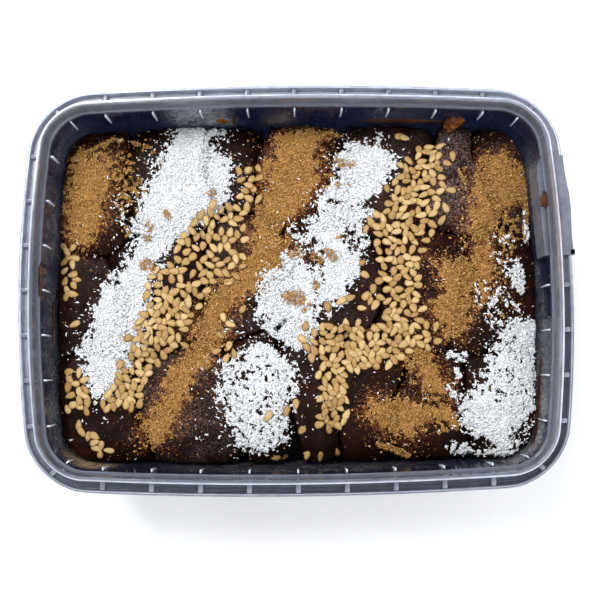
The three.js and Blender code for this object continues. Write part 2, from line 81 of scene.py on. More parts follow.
# Ribs, webs and the opening tab
RIB_PITCH_LONG = 13.0
RIB_PITCH_SHORT = 12.2
RIBS_EACH_WAY_LONG = 4
RIBS_EACH_WAY_SHORT = 3
RIB = {"width": 0.45, "depth": 1.3, "foot": 36.0}
WEB = {"width": 1.4, "top": 44.2}
TAB = {"start": 8.0, "end": 35.5, "proud": 0.5, "top": 44.9, "thickness": 1.1, "step": 1.4,
       "step_foot": 34.0, "fade": 3.0, "stub_width": 1.6, "stub_depth": 1.4}
OVERLAP = 0.4
SMEAR = {"around": 56, "rings": 12, "wander": 0.22, "lumps": 1.1, "rough": 0.6}
# Painted light added to the milkiness: at the back and left of the moat, where light falls through the
# collar, and a painted highlight on the lit side of the rim
FAR_PAINTED_LIGHT = 0.34
RIM_PAINTED_HIGHLIGHT = 0.15

# Base layer and dates
CLEARANCE = 0.35
DATE_GAP = 0.06
BED_TOP = 11.6
BED_SWELL = {"height": 0.5, "size": 6.0}
BED_SHARES = (0.985, 0.96, 0.92, 0.86, 0.78, 0.68, 0.56, 0.42, 0.26, 0.1)
BED_CRUMB = {"depth": 0.35, "size": 2.2, "from": 1.5}
DATE_FOOT = 12.6
DATE_MIDDLE = 22.6
DATE_HALF_LENGTH = 27.0
DATE_END_AT_WALL = 51.0
DATE_FULLNESS = 0.72
DATE_SQUARENESS = 3.0
DATE_SHIFT = {"up": 1.2, "turn": 0.5}
NEIGHBOUR_REACH = 60.0
SQUEEZE = {"size": 2.2, "fade": 8.0}
SQUEEZE_IN_X = {"length": 9.0, "bend": 0.7, "bend_length": 13.0, "start": 1.1}
SQUEEZE_IN_Y = {"length": 11.0, "bend": 0.8, "bend_length": 10.0, "start": 2.3}
SKIN_LUMPS = {"share": 0.03, "size": 3.4}
PRESS_SHARPNESS = 36
SKIN_SHARPNESS = 22
# Rows of dates: the side wall at their ends, the row's end, and each date's left edge, middle and top
DATE_ROWS = {
    "back": (1, 67.0, [(-67, 30.5, 33.4), (-46, 33, 33.8), (-24, 35, 30), (-9.5, 31.5, 33.6),
                       (14.5, 34, 33.2), (39.5, 30.5, 34), (54.5, 33.5, 32.4)]),
    "middle": (0, 69.0, [(-68, -4, 33.2), (-50.5, 1, 34.4), (-28, 3, 34), (-4, 5, 33.4),
                         (22.5, -1, 34.6), (46, -3, 32.8)]),
    "front": (-1, 68.0, [(-67.5, -34, 33.6), (-43, -31, 33.2), (-17, -28, 34), (-2.5, -25.5, 33),
                         (13, -26, 32.8), (30, -31, 33.6), (49, -33, 34.6)]),
}

# Bands of topping as rows across them: (y, middle x, half width)
COCONUT_BANDS = [
    [(49, -27.5, 6), (44.5, -28.3, 6.8), (41.5, -28.7, 7.7), (37, -29.3, 9.4), (33.5, -30, 11),
     (26.5, -31.5, 12), (22.5, -34.4, 10), (19, -36.4, 8.6), (15.5, -39, 5.9), (12, -41, 4.8),
     (8.5, -43.5, 4.9), (1.5, -46.3, 5.6), (-2, -49, 7), (-8, -50, 7), (-16, -52.5, 8), (-21, -53, 6.6),
     (-25, -55, 4), (-29, -55, 1.8)],
    [(42, 20, 4), (38.5, 19.6, 8.4), (34, 20.3, 7.5), (31, 18.8, 6.8), (28.5, 15.5, 7.9), (26, 13.8, 6.8),
     (24, 12.5, 4.2), (22, 12.5, 6), (20, 11.3, 7.8), (18, 10.3, 7.2), (16, 9.5, 3.8), (14, 10.2, 3.2),
     (13, 12.3, 4.3), (10, 12.5, 5.3), (6, 12.3, 5.8), (3.5, 11.3, 4.8), (0, 9, 4), (-3, 8, 3)],
    [(9.5, -1, 1.5), (7, -1, 3), (4.5, -2, 6.5), (0, -2, 7.5), (-5, -2, 7.5), (-11, -2, 6.8),
     (-15.5, -1, 3.5)],
    [(-14.5, -8.5, 3), (-19.5, -11.5, 8.5), (-25, -11.5, 11), (-36, -11.5, 8.5), (-42, -10.5, 5.5),
     (-45, -11, 3)],
    [(-9.5, 65.5, 2.5), (-12, 64, 5.5), (-14.5, 63.3, 6.7), (-19, 62, 7.7), (-23.5, 60.8, 8.6),
     (-27, 59.7, 9.6), (-31.5, 57.6, 10.3), (-35, 57.2, 10), (-38, 54.5, 8), (-41, 55.5, 5.5),
     (-44, 58, 4.5), (-46.5, 59, 3.5)],
]
CINNAMON_BANDS = [
    [(38.5, -57, 5.5), (36.5, -57.5, 6.3), (31, -59, 6.6), (25, -60, 6.1), (19.5, -60, 5.5),
     (15.5, -61.8, 4.1), (12.5, -62.5, 1.5)],
    [(46.8, 3.5, 7), (45, 2.5, 9.5), (42.5, -0.5, 6), (40, 0.3, 6.5), (36, -1.2, 8.3), (32, -0.8, 8.6),
     (28, -1.3, 7.8), (25, -3.7, 6.7), (21, -6, 5.6), (18, -8.2, 4.2), (14.5, -7, 5.5), (10, -6.5, 7.5),
     (5.5, -10, 7), (1, -16.5, 7), (-2, -20.5, 5.5), (-4, -23, 4.5), (-8.5, -24, 4.7), (-13, -25, 5),
     (-18, -27.6, 4.8), (-23.5, -32, 4.3), (-28, -34.6, 3.6), (-33.5, -37.5, 4), (-37, -38.7, 5.2),
     (-40, -39.4, 4.2), (-42.5, -40, 1.8)],
    [(39, 58.5, 3), (33.5, 58.8, 6.9), (30, 58.4, 8.6), (26, 58.4, 8.6), (23, 55.5, 6.4), (20, 52.9, 3.8),
     (17, 52.2, 3.8), (11, 52.3, 2.8), (5, 53.4, 3.4), (0, 54, 2.6), (-2.8, 53, 1)],
    [(8, 44, 5.5), (4, 45.5, 6), (0.5, 45.5, 5.5), (-1.5, 45, 3), (-3, 44, 6), (-6, 44.3, 6.3),
     (-9, 44, 5.3), (-13.5, 44.5, 2)],
    [(-15, 33, 3), (-20, 35, 3.5), (-25.5, 38, 3.5), (-29.5, 40, 3)],
    [(-31, 26, 5), (-34.5, 29.5, 10.5), (-39, 29, 6), (-42, 29, 3)],
]
SESAME_BANDS = [
    [(36.5, -13.5, 4), (30.5, -12.5, 3), (25.5, -13.5, 3)],
    [(25, -19.5, 6.5), (19, -23, 9), (13.5, -25, 11), (7.5, -25, 11), (2, -24, 8)],
    [(6.5, -37.5, 3.5), (0.5, -33, 9.5), (-5, -35, 8)],
    [(-5, -35, 8), (-9.5, -38, 9.5), (-15, -39.5, 8.5), (-19.5, -44, 5.5), (-24.5, -47, 5),
     (-32.5, -49.5, 6)],
    [(13.5, -64, 2.5), (-1, -64, 2.5)],
    [(-21.5, -62.5, 3), (-28, -61.5, 4), (-33, -61, 3)],
    [(-36.5, -61.5, 1.5), (-41, -57, 3), (-45, -54, 3)],
    [(41.5, 38.5, 3.5), (36, 36.5, 7.5), (30, 35, 10), (24.5, 34, 9), (18.5, 31, 11), (13, 29.5, 7),
     (-6, 29.5, 6.5), (-11.5, 31, 7.5), (-15.5, 33.5, 7)],
    [(-10, 21, 19.5), (-15.5, 19, 18), (-20.5, 17, 12), (-24, 10.5, 5), (-39, 9.5, 4)],
]

# Least distance between the seeds of each sesame band
SESAME_SPACING = [1.85, 1.85, 1.65, 1.5, 1.6, 1.7, 1.6, 1.6, 1.45]

# Smaller patches, as (from x, from y, to x, to y, half width, share of it that is covered)
CINNAMON_PATCHES = [
    (-62.3, 39, -57.7, 41.3, 0.6, 0.9), (-57.7, 41.3, -52.3, 44.5, 0.7, 0.9),
    (-52.3, 44.5, -48, 43.8, 0.7, 0.7), (-48, 43.8, -41.4, 41.7, 0.6, 0.6), (-60, 40, -52, 41, 2.5, 0.45),
    (-50, 36, -47, 29, 4.5, 0.55), (-49, 25, -46, 18, 3.5, 0.3), (22.9, -43.2, 31.2, -46.6, 0.9, 0.9),
    (38, -28, 42, -38, 3.5, 0.5), (40, -35, 42.5, -36, 2.2, 0.9), (60, 19, 59.5, 11, 4.5, 0.45),
    (66.3, 25, 66, 14, 0.9, 0.9), (49.5, 31, 48, 33, 2, 0.5), (52, -2, 58, -9, 4, 0.2),
    (33, -24, 40, -28, 2.5, 0.45), (-16, 6, -12, 8, 4.5, 0.36), (7, 40, 9, 31, 3, 0.35),
    (-14, 3, -9, 0, 3, 0.4), (-43, 43, -40, 36, 3.5, 0.18), (61, 5, 60, -8, 4.5, 0.16),
    (47, -14, 50, -22, 4, 0.12), (-24, 42, -17, 38, 3, 0.12), (38, -22, 48, -30, 4, 0.12),
]
CINNAMON_DUSTINGS = [
    (12, 37, 16, 36, 1.2, 0.9), (-2.2, -1.5, 1, -2, 2.1, 0.9), (5, 9.5, 7, 8.8, 1.2, 0.8),
    (9, 11, 10.5, 9.2, 1.2, 0.9), (4.5, 2, 5.8, 1, 1.1, 0.8), (-47, -10, -50, -20, 4, 0.08),
    (-43, 8, -40.5, 6.5, 1.7, 0.8), (-21, 1, -17, -3, 3, 0.3), (12, 31, 12.5, 30, 0.7, 0.8),
    (15.5, 30.5, 15.7, 30, 0.5, 0.8), (-36.8, 22.5, -36, 21, 0.9, 0.9), (11.5, 14.8, 13, 15.3, 0.6, 0.8),
    (2, -6, 3.5, -4, 0.6, 0.7), (-23.5, 29, -24.3, 28, 0.8, 0.7), (-41.5, 19, -42, 15.5, 1.3, 0.6),
    (-1, 10, 1.5, 10.5, 1.2, 0.8),
]
COCONUT_PATCHES = [
    (43.5, -18.2, 47, -19.5, 1.5, 0.55), (45.2, -22.5, 45.5, -25, 0.8, 0.7),
    (42.2, -27.5, 44, -29.7, 0.9, 0.8), (54, -8, 57, -11, 1.8, 0.3), (55, -2, 61, -9, 5, 0.24),
    (43.5, -44.4, 47.5, -45.4, 2.1, 0.55), (49, -46.2, 56, -45.8, 0.8, 0.6), (59, 12, 60, 7, 4, 0.25),
    (62.7, 5, 63, 0.5, 2, 0.75), (-28, -38, -18, -45, 4, 0.1), (-50, 25, -43, 16, 4, 0.15),
    (-16, -44, -10, -45.5, 1, 0.35), (16.5, 24, 21, 22, 2.2, 0.4), (14, 17.5, 18.5, 14.5, 2.6, 0.45),
    (0, 17, 6, 13, 2.8, 0.4), (7, 1, 12, -1.5, 3, 0.6), (6, -4, 9, -6, 2, 0.3), (-54, 1, -50, 5, 2, 0.4),
    (63, -38, 66, -34, 3, 0.25), (66, 22, 66.2, 13, 0.7, 0.5), (24, 45, 26, 42, 1.5, 0.25),
]
COCONUT_GAPS = [
    (-22.8, 44, -20, 41.5, 2.2, 0.8), (9, 26, 13, 25.2, 0.6, 0.9), (61, -43, 66.5, -37, 2.8, 0.65),
    (51.5, -43, 54, -44.5, 1.5, 0.9), (4, 22, 16, 19, 2.5, 0.15), (-16, -19, -15, -23, 1.4, 0.6),
    (58, -16, 66, -36, 6, 0.16), (50, -22, 55, -30, 2.5, 0.3), (-14, -11.3, -9.7, -12.7, 1.8, 0.85),
    (-9.7, -12.7, -5.3, -15, 1.5, 0.85), (-5.3, -15, -1.1, -18.7, 1.7, 0.85), (-14, -24, -11, -42, 9, 0.28),
]

# Single sesame seeds away from the bands
SESAME_STRAYS = [
    (28.6, 30.9), (45.1, 38), (40.7, 36.3), (30.3, 44.6), (31.7, 44), (44.3, 28.2), (42.7, 23.3),
    (18.7, 7.7), (19.5, 4.3), (21.7, 0.3), (38.8, 16.1), (20, 17.4), (20.3, -1.7), (-62.6, -8.8),
    (-15.1, -5), (-3.2, -33.8), (-0.4, -31.8), (-8.2, -35.1), (1.2, -39.1), (12.6, -3.1), (15.2, -2.2),
    (18.5, -5.1), (22.2, -4.3), (-20.6, -7.4), (-18.6, -9.3), (-21.5, -12.3), (-19.2, -15.4), (-17.6, -17.5),
    (-19.9, -18.8), (-22.5, -16.8), (20.8, -3.1), (19.7, -1.7), (8.9, -4.7), (36.7, -14.3), (36.7, -16.3),
    (13.9, -9.3), (17.3, -9.3), (-30.6, -8.6), (2.6, -46.3), (-1.7, -46.6), (0.6, -47), (-4, -47),
    (-6.3, -47), (10.9, -45.3), (6.3, -46.6),
]

# Dust on the wall, with painted reflections of the toppings that lie against it: middle and half spread as
# degrees round the tub, lowest, highest, strength and warmth
WALL_DUST_AND_REFLECTIONS = [
    (118, 8, 29, 44, 1.2, 0), (95, 5, 29, 40, 0.7, 0.8), (20, 10, 28, 42, 0.7, 0.5),
    (-8, 10, 26, 40, 0.5, 0.2), (165, 9, 26, 42, 0.6, 0.3), (180, 6, 26, 42, 0.5, 0.5),
    (-167, 9, 22, 42, 0.6, 0.2), (-152, 7, 22, 42, 0.7, 0.35), (-90, 42, 18, 41, 0.5, 0.55),
    (2, 4, 26, 35, 0.9, 0.25), (-141, 5, 15, 40, 2.6, 1), (-28, 14, 22, 42, 1.1, 0.2),
    (60, 8, 34, 42, 0.25, 0.3), (148, 6, 30, 40, 0.4, 0.3),
]

# Looks of the toppings and of smeared filling: colours from the darkest tone to the lightest, roughness,
# scatter inside, and size of the patches of tone
GRAIN_LOOKS = {
    "cinnamon": ({0: (134, 91, 43), 0.5: (183, 137, 75), 1: (214, 172, 110)}, 0.9, 0, 0.4),
    "coconut": ({0: (206, 209, 214), 0.5: (240, 242, 245), 1: (250, 251, 252)}, 0.6, 0.3, 0.6),
    "sesame": ({0: (88, 58, 28), 0.3: (140, 106, 58), 0.65: (164, 132, 82), 1: (190, 164, 116)},
               0.45, 0.1, 0.7),
    "syrup": ({0: (44, 19, 4), 0.5: (98, 50, 12), 1: (172, 104, 36)}, 0.5, 0, 0.5),
    "smudge": ({0: (26, 11, 5), 0.5: (52, 26, 12), 1: (88, 48, 24)}, 0.6, 0, 0.7),
    "honey": ({0: (112, 84, 44), 0.5: (146, 114, 64), 1: (176, 146, 92)}, 0.5, 0, 1.5),
}
# Powders and flakes, each with: share covered in its bands, how their edges fade and wander, size of clumps,
# packed depth and how steeply that ends, share of strays near a band and how they fade, share anywhere,
# tries and seed of each throw, and the steepest lean of a grain, which is also how far it beds in
TOPPINGS = {
    "cinnamon": {"bands": CINNAMON_BANDS, "patches": CINNAMON_PATCHES, "gaps": [],
                 "full": 0.96, "edge": (-3.4, 4.2), "seed": 21, "clump": 1.1, "heap": 0.2, "heap_slope": 2.5,
                 "near": 0.13, "fade": 2.6, "far": 0.003, "throws": [(300000, 14), (235000, 15)], "lie": 0.8},
    "coconut": {"bands": COCONUT_BANDS, "patches": COCONUT_PATCHES, "gaps": COCONUT_GAPS,
                "full": 0.93, "edge": (-3.9, 2.9), "seed": 31, "clump": 0.85, "heap": 0.55, "heap_slope": 2.2,
                "near": 0.08, "fade": 2.8, "far": 0.001, "throws": [(250000, 4), (225000, 5)], "lie": 0.7},
}
WANDER = {"by": 1.3, "size": 5}
CLUMPS = {"sharpness": 2.6, "gain": 1.3, "edge": 0.15}
BRIDGE = {"cells": 12, "sag": 0.3}
DUSTING = {"tries": 230000, "seed": 18, "steepest": 1.2, "bedded": 0.7, "clump": 1.4, "clump_seed": 71}
BATCHES = 24
# A grain is held up at this share of its length and width from its middle, and is lifted by this share of
# its thickness
HELD_AT = 0.4
LIFT = 0.35
# Its top, in shares of its length, width and thickness
DOME = {"reach": 0.42, "radius": 0.6, "height": 0.45}
MOST_TRIANGLES = 190000
FLAKE = np.array([(0.5, 0.15, -0.3), (-0.5, 0.4, -0.3), (-0.2, -0.5, -0.3), (-0.05, 0, 0.5)])
CRUMB = np.array([(0.5, 0, -0.3), (-0.35, 0.5, -0.3), (-0.35, -0.5, -0.3), (0, 0, 0.5)])
PYRAMID_FACES = [(0, 1, 3), (1, 2, 3), (2, 0, 3), (1, 0, 2)]
# Tone taken off each seed's edges and tips: partly its own darker rim, partly painted contact shadow
SEED_EDGE_SHADOW = -0.6
SEED_SIZE = (3.08, 1.95, 0.6)
SEED_VARIETY = 0.1
SEED_TRIES = 40000
SEED_LIE = {"draw": 25, "thinning": 1.3, "steepest": 0.55, "bedded": 0.3, "from_wall": 1.3, "lowest": 18.6}

# Skin of the dates
FOLDS = {"depth": 0.35, "size": 5.0, "sharpness": 3.2, "stretch": 0.55, "warp": 2.2, "warp_size": 8,
         "filled": 0.7, "roughness": 0.12, "rough_size": 1.3}
POWDER = 0.6
DAMP_REACH = 8.0
DAMP_PATCHES = {"share": 0.25, "size": 7, "seed": 45}
BLOOM_DATES = {"date_back_6": 0.85, "date_back_5": 0.22, "date_back_7": 0.25, "date_middle_1": 0.1,
               "date_front_2": 0.32, "date_middle_3": 0.15, "date_middle_4": 0.15, "date_front_4": 0.08}
BLOOM_ELSEWHERE = 0.015
BLOOM_PATCHES = {"level": 0.7, "share": 1.4, "size": 4, "seed": 41}


# Numbers and noise

def make_draw(seed):
    """Seeded draw in 0..1, the same as in the part's source"""
    state = seed

    def draw():
        nonlocal state
        state = (state * 1664525 + 1013904223) % 2 ** 32
        return state / 2 ** 32
    return draw


def unevenness(x, y, z, size):
    """Smooth unevenness in about -1..1, with lumps some millimetres across"""
    a = np.sin(x / size + 1.7 * np.sin(y / size + 0.6))
    b = np.sin(y / size * 1.3 + 1.4 * np.sin(z / size + 2.1))
    c = np.sin(z / size * 1.1 + 1.6 * np.sin(x / size * 0.8 + 4.2))
    return (a + b + c) / 3


def lattice(cells, seed):
    """Fixed draw in -1..1 for each whole-numbered cell"""
    mixed = cells.astype(np.int64) * np.array([374761393, 668265263, 2147483647])
    total = (mixed.sum(-1) + seed * 144665) & 0xFFFFFFFF
    total = ((total ^ (total >> 13)) * 1274126177) & 0xFFFFFFFF
    return ((total ^ (total >> 16)) & 0xFFFF) / 32767.5 - 1


def noise(points, size, seed=0):
    """Value noise in about -1..1, with bumps of the given size"""
    scaled = np.asarray(points, float) / size
    low = np.floor(scaled)
    share = scaled - low
    share = share * share * (3 - 2 * share)
    value = np.zeros(len(scaled))
    for corner in np.ndindex(2, 2, 2):
        weight = np.prod(np.where(corner, share, 1 - share), axis=1)
        value += weight * lattice(low + corner, seed)
    return value


def rough_noise(points, size, seed=0, octaves=3):
    return sum(noise(points, size / 2 ** k, seed + k) / 2 ** k for k in range(octaves)) / 1.5


def flat_noise(x, y, size, seed):
    return rough_noise(np.stack([x, y, 0 * x], 1), size, seed, 2)


def smooth_step(low, high, value):
    share = np.clip((value - low) / (high - low), 0, 1)
    return share * share * (3 - 2 * share)


# Outline of the tub

def depth_inside(x, y):
    """How far inside the outline points lie"""
    over_x = np.abs(x) + END_BOW * (y / HALF_WIDTH) ** 2 - (HALF_LENGTH - CORNER_RADIUS)
    over_y = np.abs(y) + SIDE_BOW * (x / HALF_LENGTH) ** 2 - (HALF_WIDTH - CORNER_RADIUS)
    in_corner = (over_x > 0) & (over_y > 0)
    return CORNER_RADIUS - np.where(in_corner, np.hypot(over_x, over_y), np.maximum(over_x, over_y))


def reach(angle, inset):
    """Distance from the middle to the outline drawn in by inset, at polar angles"""
    low = np.zeros(np.broadcast(angle, inset).shape)
    high = low + HALF_LENGTH + HALF_WIDTH
    for _ in range(40):
        middle = (low + high) / 2
        inside = depth_inside(middle * np.cos(angle), middle * np.sin(angle)) > inset
        low = np.where(inside, middle, low)
        high = np.where(inside, high, middle)
    return low


def wall_inset(z):
    share = (LEDGE_HEIGHT - z) / (LEDGE_HEIGHT - FLOOR_TOP)
    return WALL_AT_LEDGE + (WALL_AT_FLOOR - WALL_AT_LEDGE) * share


def ring_angles(counts):
    """Polar angles round the tub: for a quarter, so many steps to the corner, through it and after it"""
    corner_start = math.atan2(HALF_WIDTH - CORNER_RADIUS, HALF_LENGTH)
    corner_end = math.atan2(HALF_WIDTH, HALF_LENGTH - CORNER_RADIUS)
    stops = [0, corner_start, corner_end, math.pi / 2]
    spans = [np.linspace(stops[i], stops[i + 1], counts[i], endpoint=False) for i in range(3)]
    quarter = np.concatenate(spans)
    half = np.concatenate([quarter, [math.pi / 2], math.pi - quarter[:0:-1]])
    return np.concatenate([half, half + math.pi])


def ring(angles, inset, z):
    distance = reach(angles, inset)
    return np.stack([distance * np.cos(angles), distance * np.sin(angles), np.full(len(angles), z)], 1)


# Meshes

def add_object(name, data):
    made = bpy.data.objects.new(name, data)
    bpy.context.scene.collection.objects.link(made)
    return made


def add_piece(name, points, faces, material, smooth=True):
    mesh = bpy.data.meshes.new(name)
    mesh.from_pydata((np.asarray(points) * MM).tolist(), [], [list(map(int, face)) for face in faces])
    mesh.validate()
    mesh.materials.append(material)
    mesh.polygons.foreach_set("use_smooth", [smooth] * len(mesh.polygons))
    piece = add_object(name, mesh)
    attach(piece, "root")
    return piece


def set_values(piece, **values):
    """Store named values at the points of a mesh, for its material to read"""
    for name, each in values.items():
        attribute = piece.data.attributes.new(name, "FLOAT", "POINT")
        attribute.data.foreach_set("value", np.asarray(each, np.float32))


def loft_faces(rings, count):
    """Faces of a closed skin through rings of count points, with a many-sided face at each end"""
    faces = []
    for r in range(rings - 1):
        for i in range(count):
            j = (i + 1) % count
            faces.append((r * count + i, r * count + j, (r + 1) * count + j, (r + 1) * count + i))
    faces.append(tuple(range(count))[::-1])
    faces.append(tuple(range((rings - 1) * count, rings * count)))
    return faces


def round_profile(corners):
    """Profile of corners (inset, height, milkiness with painted sheen, radius), each rounded by a curve of
    five points
    """
    points = []
    for i, (*corner, radius) in enumerate(corners):
        here = np.array(corner)
        if radius == 0:
            points.append(here)
            continue
        before = np.array(corners[i - 1][:3]) - here
        after = np.array(corners[i + 1][:3]) - here
        start = here + before * min(radius / np.linalg.norm(before[:2]), 0.5)
        end = here + after * min(radius / np.linalg.norm(after[:2]), 0.5)
        for t in np.linspace(0, 1, 5):
            points.append((1 - t) ** 2 * start + 2 * t * (1 - t) * here + t * t * end)
    return points


# Node materials

def srgb(red, green, blue):
    """Linear colour of an sRGB one given in 0..255"""
    return tuple(c / 3294.6 if c < 10.3 else ((c / 255 + 0.055) / 1.055) ** 2.4 for c in (red, green, blue))


class Nodes:
    """A node material in the making; bump and grain sizes are in millimetres"""

    def __init__(self, name):
        self.material = bpy.data.materials.new(name)
        self.material.use_nodes = True
        self.tree = self.material.node_tree
        self.place = self.node("TexCoord", {}, "Object")

    def feed(self, socket, value):
        if isinstance(value, bpy.types.NodeSocket):
            self.tree.links.new(value, socket)
        else:
            socket.default_value = (*value, 1) if socket.type == "RGBA" else value

    def node(self, kind, inputs, output, **settings):
        """Output of a new node whose inputs are linked or set"""
        made = self.tree.nodes.new("ShaderNode" + kind)
        for key, value in settings.items():
            setattr(made, key, value)
        for key, value in inputs.items():
            self.feed(made.inputs[key], value)
        return made.outputs[output]

    def dress(self, inputs):
        """Feed the shader and hand back the material"""
        for key, value in inputs.items():
            self.feed(self.tree.nodes["Principled BSDF"].inputs[key], value)
        return self.material

    def noise(self, size, detail=3.0, roughness=0.6, distortion=0.0):
        """Noise whose bumps are about size across"""
        return self.node("TexNoise", {"Vector": self.place, "Scale": 1 / (size * MM), "Detail": detail,
                                      "Roughness": roughness, "Distortion": distortion}, "Fac")

    def streaks(self, size):
        """Noise in fine lines that run round the tub, about size apart across it"""
        across = self.times(self.values("across"), 1 / size)
        vector = self.node("CombineXYZ", {"X": across, "Y": self.times(self.noise(14, 2), 2.5)}, "Vector")
        return self.node("TexNoise", {"Vector": vector, "Scale": 1.0, "Detail": 2.0}, "Fac")

    def values(self, name):
        """Values stored at the mesh's points"""
        return self.node("Attribute", {}, "Fac", attribute_name=name)

    def math(self, operation, a, b):
        return self.node("Math", {0: a, 1: b}, 0, operation=operation)

    def times(self, a, b):
        return self.math("MULTIPLY", a, b)

    def plus(self, a, b):
        return self.math("ADD", a, b)

    def ramp(self, value, stops):
        """Colour ramp: stops give the sRGB colour or the plain grey at each place"""
        made = self.node("ValToRGB", {"Fac": value}, "Color")
        elements = made.node.color_ramp.elements
        while len(elements) < len(stops):
            elements.new(0.5)
        for element, (place, colour) in zip(elements, stops.items()):
            element.position = place
            element.color = (*(srgb(*colour) if isinstance(colour, tuple) else [colour] * 3), 1)
        return made

    def mix(self, share, a, b):
        return self.node("Mix", {0: share, 6: a, 7: b}, 2, data_type="RGBA")

    def bump(self, height, strength, depth, **below):
        return self.node("Bump", {"Height": height, "Strength": strength, "Distance": depth * MM, **below},
                         "Normal")


def plastic_material():
    """Clear thin plastic that reads as smoky navy, milky where it is folded, with painted sheen on its level
    faces and edges, dusted, with painted reflections of the toppings on the inner wall, and smeared in places
    """
    n = Nodes("tub_plastic")
    # Milkiness with painted sheen: level faces, lit edges and ribs are lightened for the overhead light they
    # reflect
    milk = n.times(n.values("milk"), n.ramp(n.noise(3, 4, 0.7), {0.3: 0.82, 0.7: 1.15}))
    milk = n.times(milk, n.ramp(n.streaks(0.28), {0.3: 0.5, 0.7: 1.5}))
    haze = n.ramp(n.noise(7, 5, 0.7, 0.8), {0.4: (12, 17, 40), 0.8: (34, 42, 76)})
    speckle = n.ramp(n.noise(0.9, 5, 0.85, 0.4), {0.4: 0, 0.6: 1})
    drift = n.ramp(n.noise(5, 3), {0.35: 0.35, 0.65: 1})
    # Dust, with painted reflections of the toppings that lie against the inner wall; rougher and less clear
    # there
    dust = n.times(n.times(n.values("dust"), drift), n.plus(n.times(speckle, 0.8), 0.15))
    grime_and_reflection = n.mix(n.values("warm"), srgb(168, 172, 178), srgb(150, 128, 100))
    body = n.mix(dust, n.mix(milk, haze, (0.68, 0.72, 0.82)), grime_and_reflection)
    solid = n.math("MAXIMUM", dust, n.times(milk, 0.75))
    shine = n.ramp(n.noise(4, 5, 0.7), {0.3: 0.06, 0.8: 0.2})
    return n.dress({
        "Base Color": n.mix(n.values("stain"), body, srgb(150, 112, 62)),
        "Roughness": n.plus(shine, n.times(dust, 0.5)),
        "Transmission Weight": n.times(n.math("SUBTRACT", 1.0, solid), 0.5),
        "IOR": 1.45,
        "Specular IOR Level": 0.3,
        "Normal": n.bump(n.noise(5, 4, 0.6), 0.3, 0.15),
    })


def date_material():
    """Dark date skin, bare, with sugar bloom, or under a powder of cinnamon or fine coconut"""
    n = Nodes("date_skin")

    def powder(name, size, sharp):
        depth = n.plus(n.values(name), n.noise(size, 5, 0.8))
        return n.ramp(n.math("SUBTRACT", depth, 0.5), {0.5 - sharp: 0, 0.5 + sharp: 1})

    damp = n.values("damp")
    skin = n.ramp(n.noise(6, 5, 0.65, 0.8),
                  {0.3: (12, 5, 4), 0.5: (24, 10, 7), 0.68: (42, 19, 12), 0.85: (60, 28, 17)})
    skin = n.mix(n.times(damp, 0.6), skin, srgb(12, 5, 4))
    fleck = n.ramp(n.plus(n.times(damp, 0.21), n.noise(0.75, 4, 0.85)), {0.7: 0, 0.73: 1})
    rust = n.ramp(n.noise(1.2, 4, 0.85), {0.38: (78, 38, 20), 0.62: (140, 84, 46)})
    skin = n.mix(n.times(fleck, 0.85), skin, rust)
    frost = n.ramp(n.noise(0.5, 4, 0.85), {0.5: 0, 0.58: 1})
    bloom = n.times(n.times(n.values("bloom"), frost), 0.7)
    skin = n.mix(bloom, skin, srgb(142, 124, 120))
    cinnamon, coconut = powder("cinnamon", 0.9, 0.05), powder("coconut", 1.1, 0.06)
    brown = n.ramp(n.noise(0.7, 4, 0.8), {0.3: (130, 88, 42), 0.55: (170, 126, 68), 0.8: (184, 142, 84)})
    white = n.ramp(n.noise(0.6, 4, 0.8), {0.3: (206, 209, 214), 0.6: (242, 244, 246)})
    rough = n.mix(bloom, n.ramp(n.noise(2.2, 4), {0.3: 0.28, 0.7: 0.5}), (0.75,) * 3)
    fine = n.bump(n.noise(0.7, 5, 0.75), 0.4, 0.2)
    return n.dress({
        "Base Color": n.mix(coconut, n.mix(cinnamon, skin, brown), white),
        "Roughness": n.mix(n.math("MAXIMUM", cinnamon, coconut), rough, (0.95,) * 3),
        "Normal": n.bump(n.noise(2.4, 4, 0.6, 0.5), 0.35, 0.5, Normal=fine),
        "Specular IOR Level": 0.045,
    })


def paste_material():
    n = Nodes("base_paste")
    return n.dress({
        "Base Color": n.ramp(n.noise(2.5, 5, 0.7),
                             {0.3: (28, 16, 12), 0.55: (50, 30, 21), 0.8: (82, 52, 34)}),
        "Roughness": n.ramp(n.noise(1.2, 3), {0.3: 0.35, 0.7: 0.7}),
        "Normal": n.bump(n.noise(0.9, 5, 0.75), 0.7, 0.4),
    })


def grain_material(name):
    """Topping or filling whose pieces differ in tone"""
    stops, rough, scatter, size = GRAIN_LOOKS[name]
    n = Nodes(name)
    patches = n.times(n.math("SUBTRACT", n.noise(size, 3, 0.7), 0.5), 0.8)
    return n.dress({
        "Base Color": n.ramp(n.plus(n.values("tone"), patches), stops),
        "Roughness": n.ramp(n.noise(size), {0.3: rough - 0.1, 0.7: rough + 0.1}),
        "Normal": n.bump(n.noise(size * 0.6, 3), 0.3, 0.08),
        "Specular IOR Level": 0.25,
        "Subsurface Weight": scatter,
        "Subsurface Radius": (0.6 * MM, 0.5 * MM, 0.35 * MM),
    })


# Tub

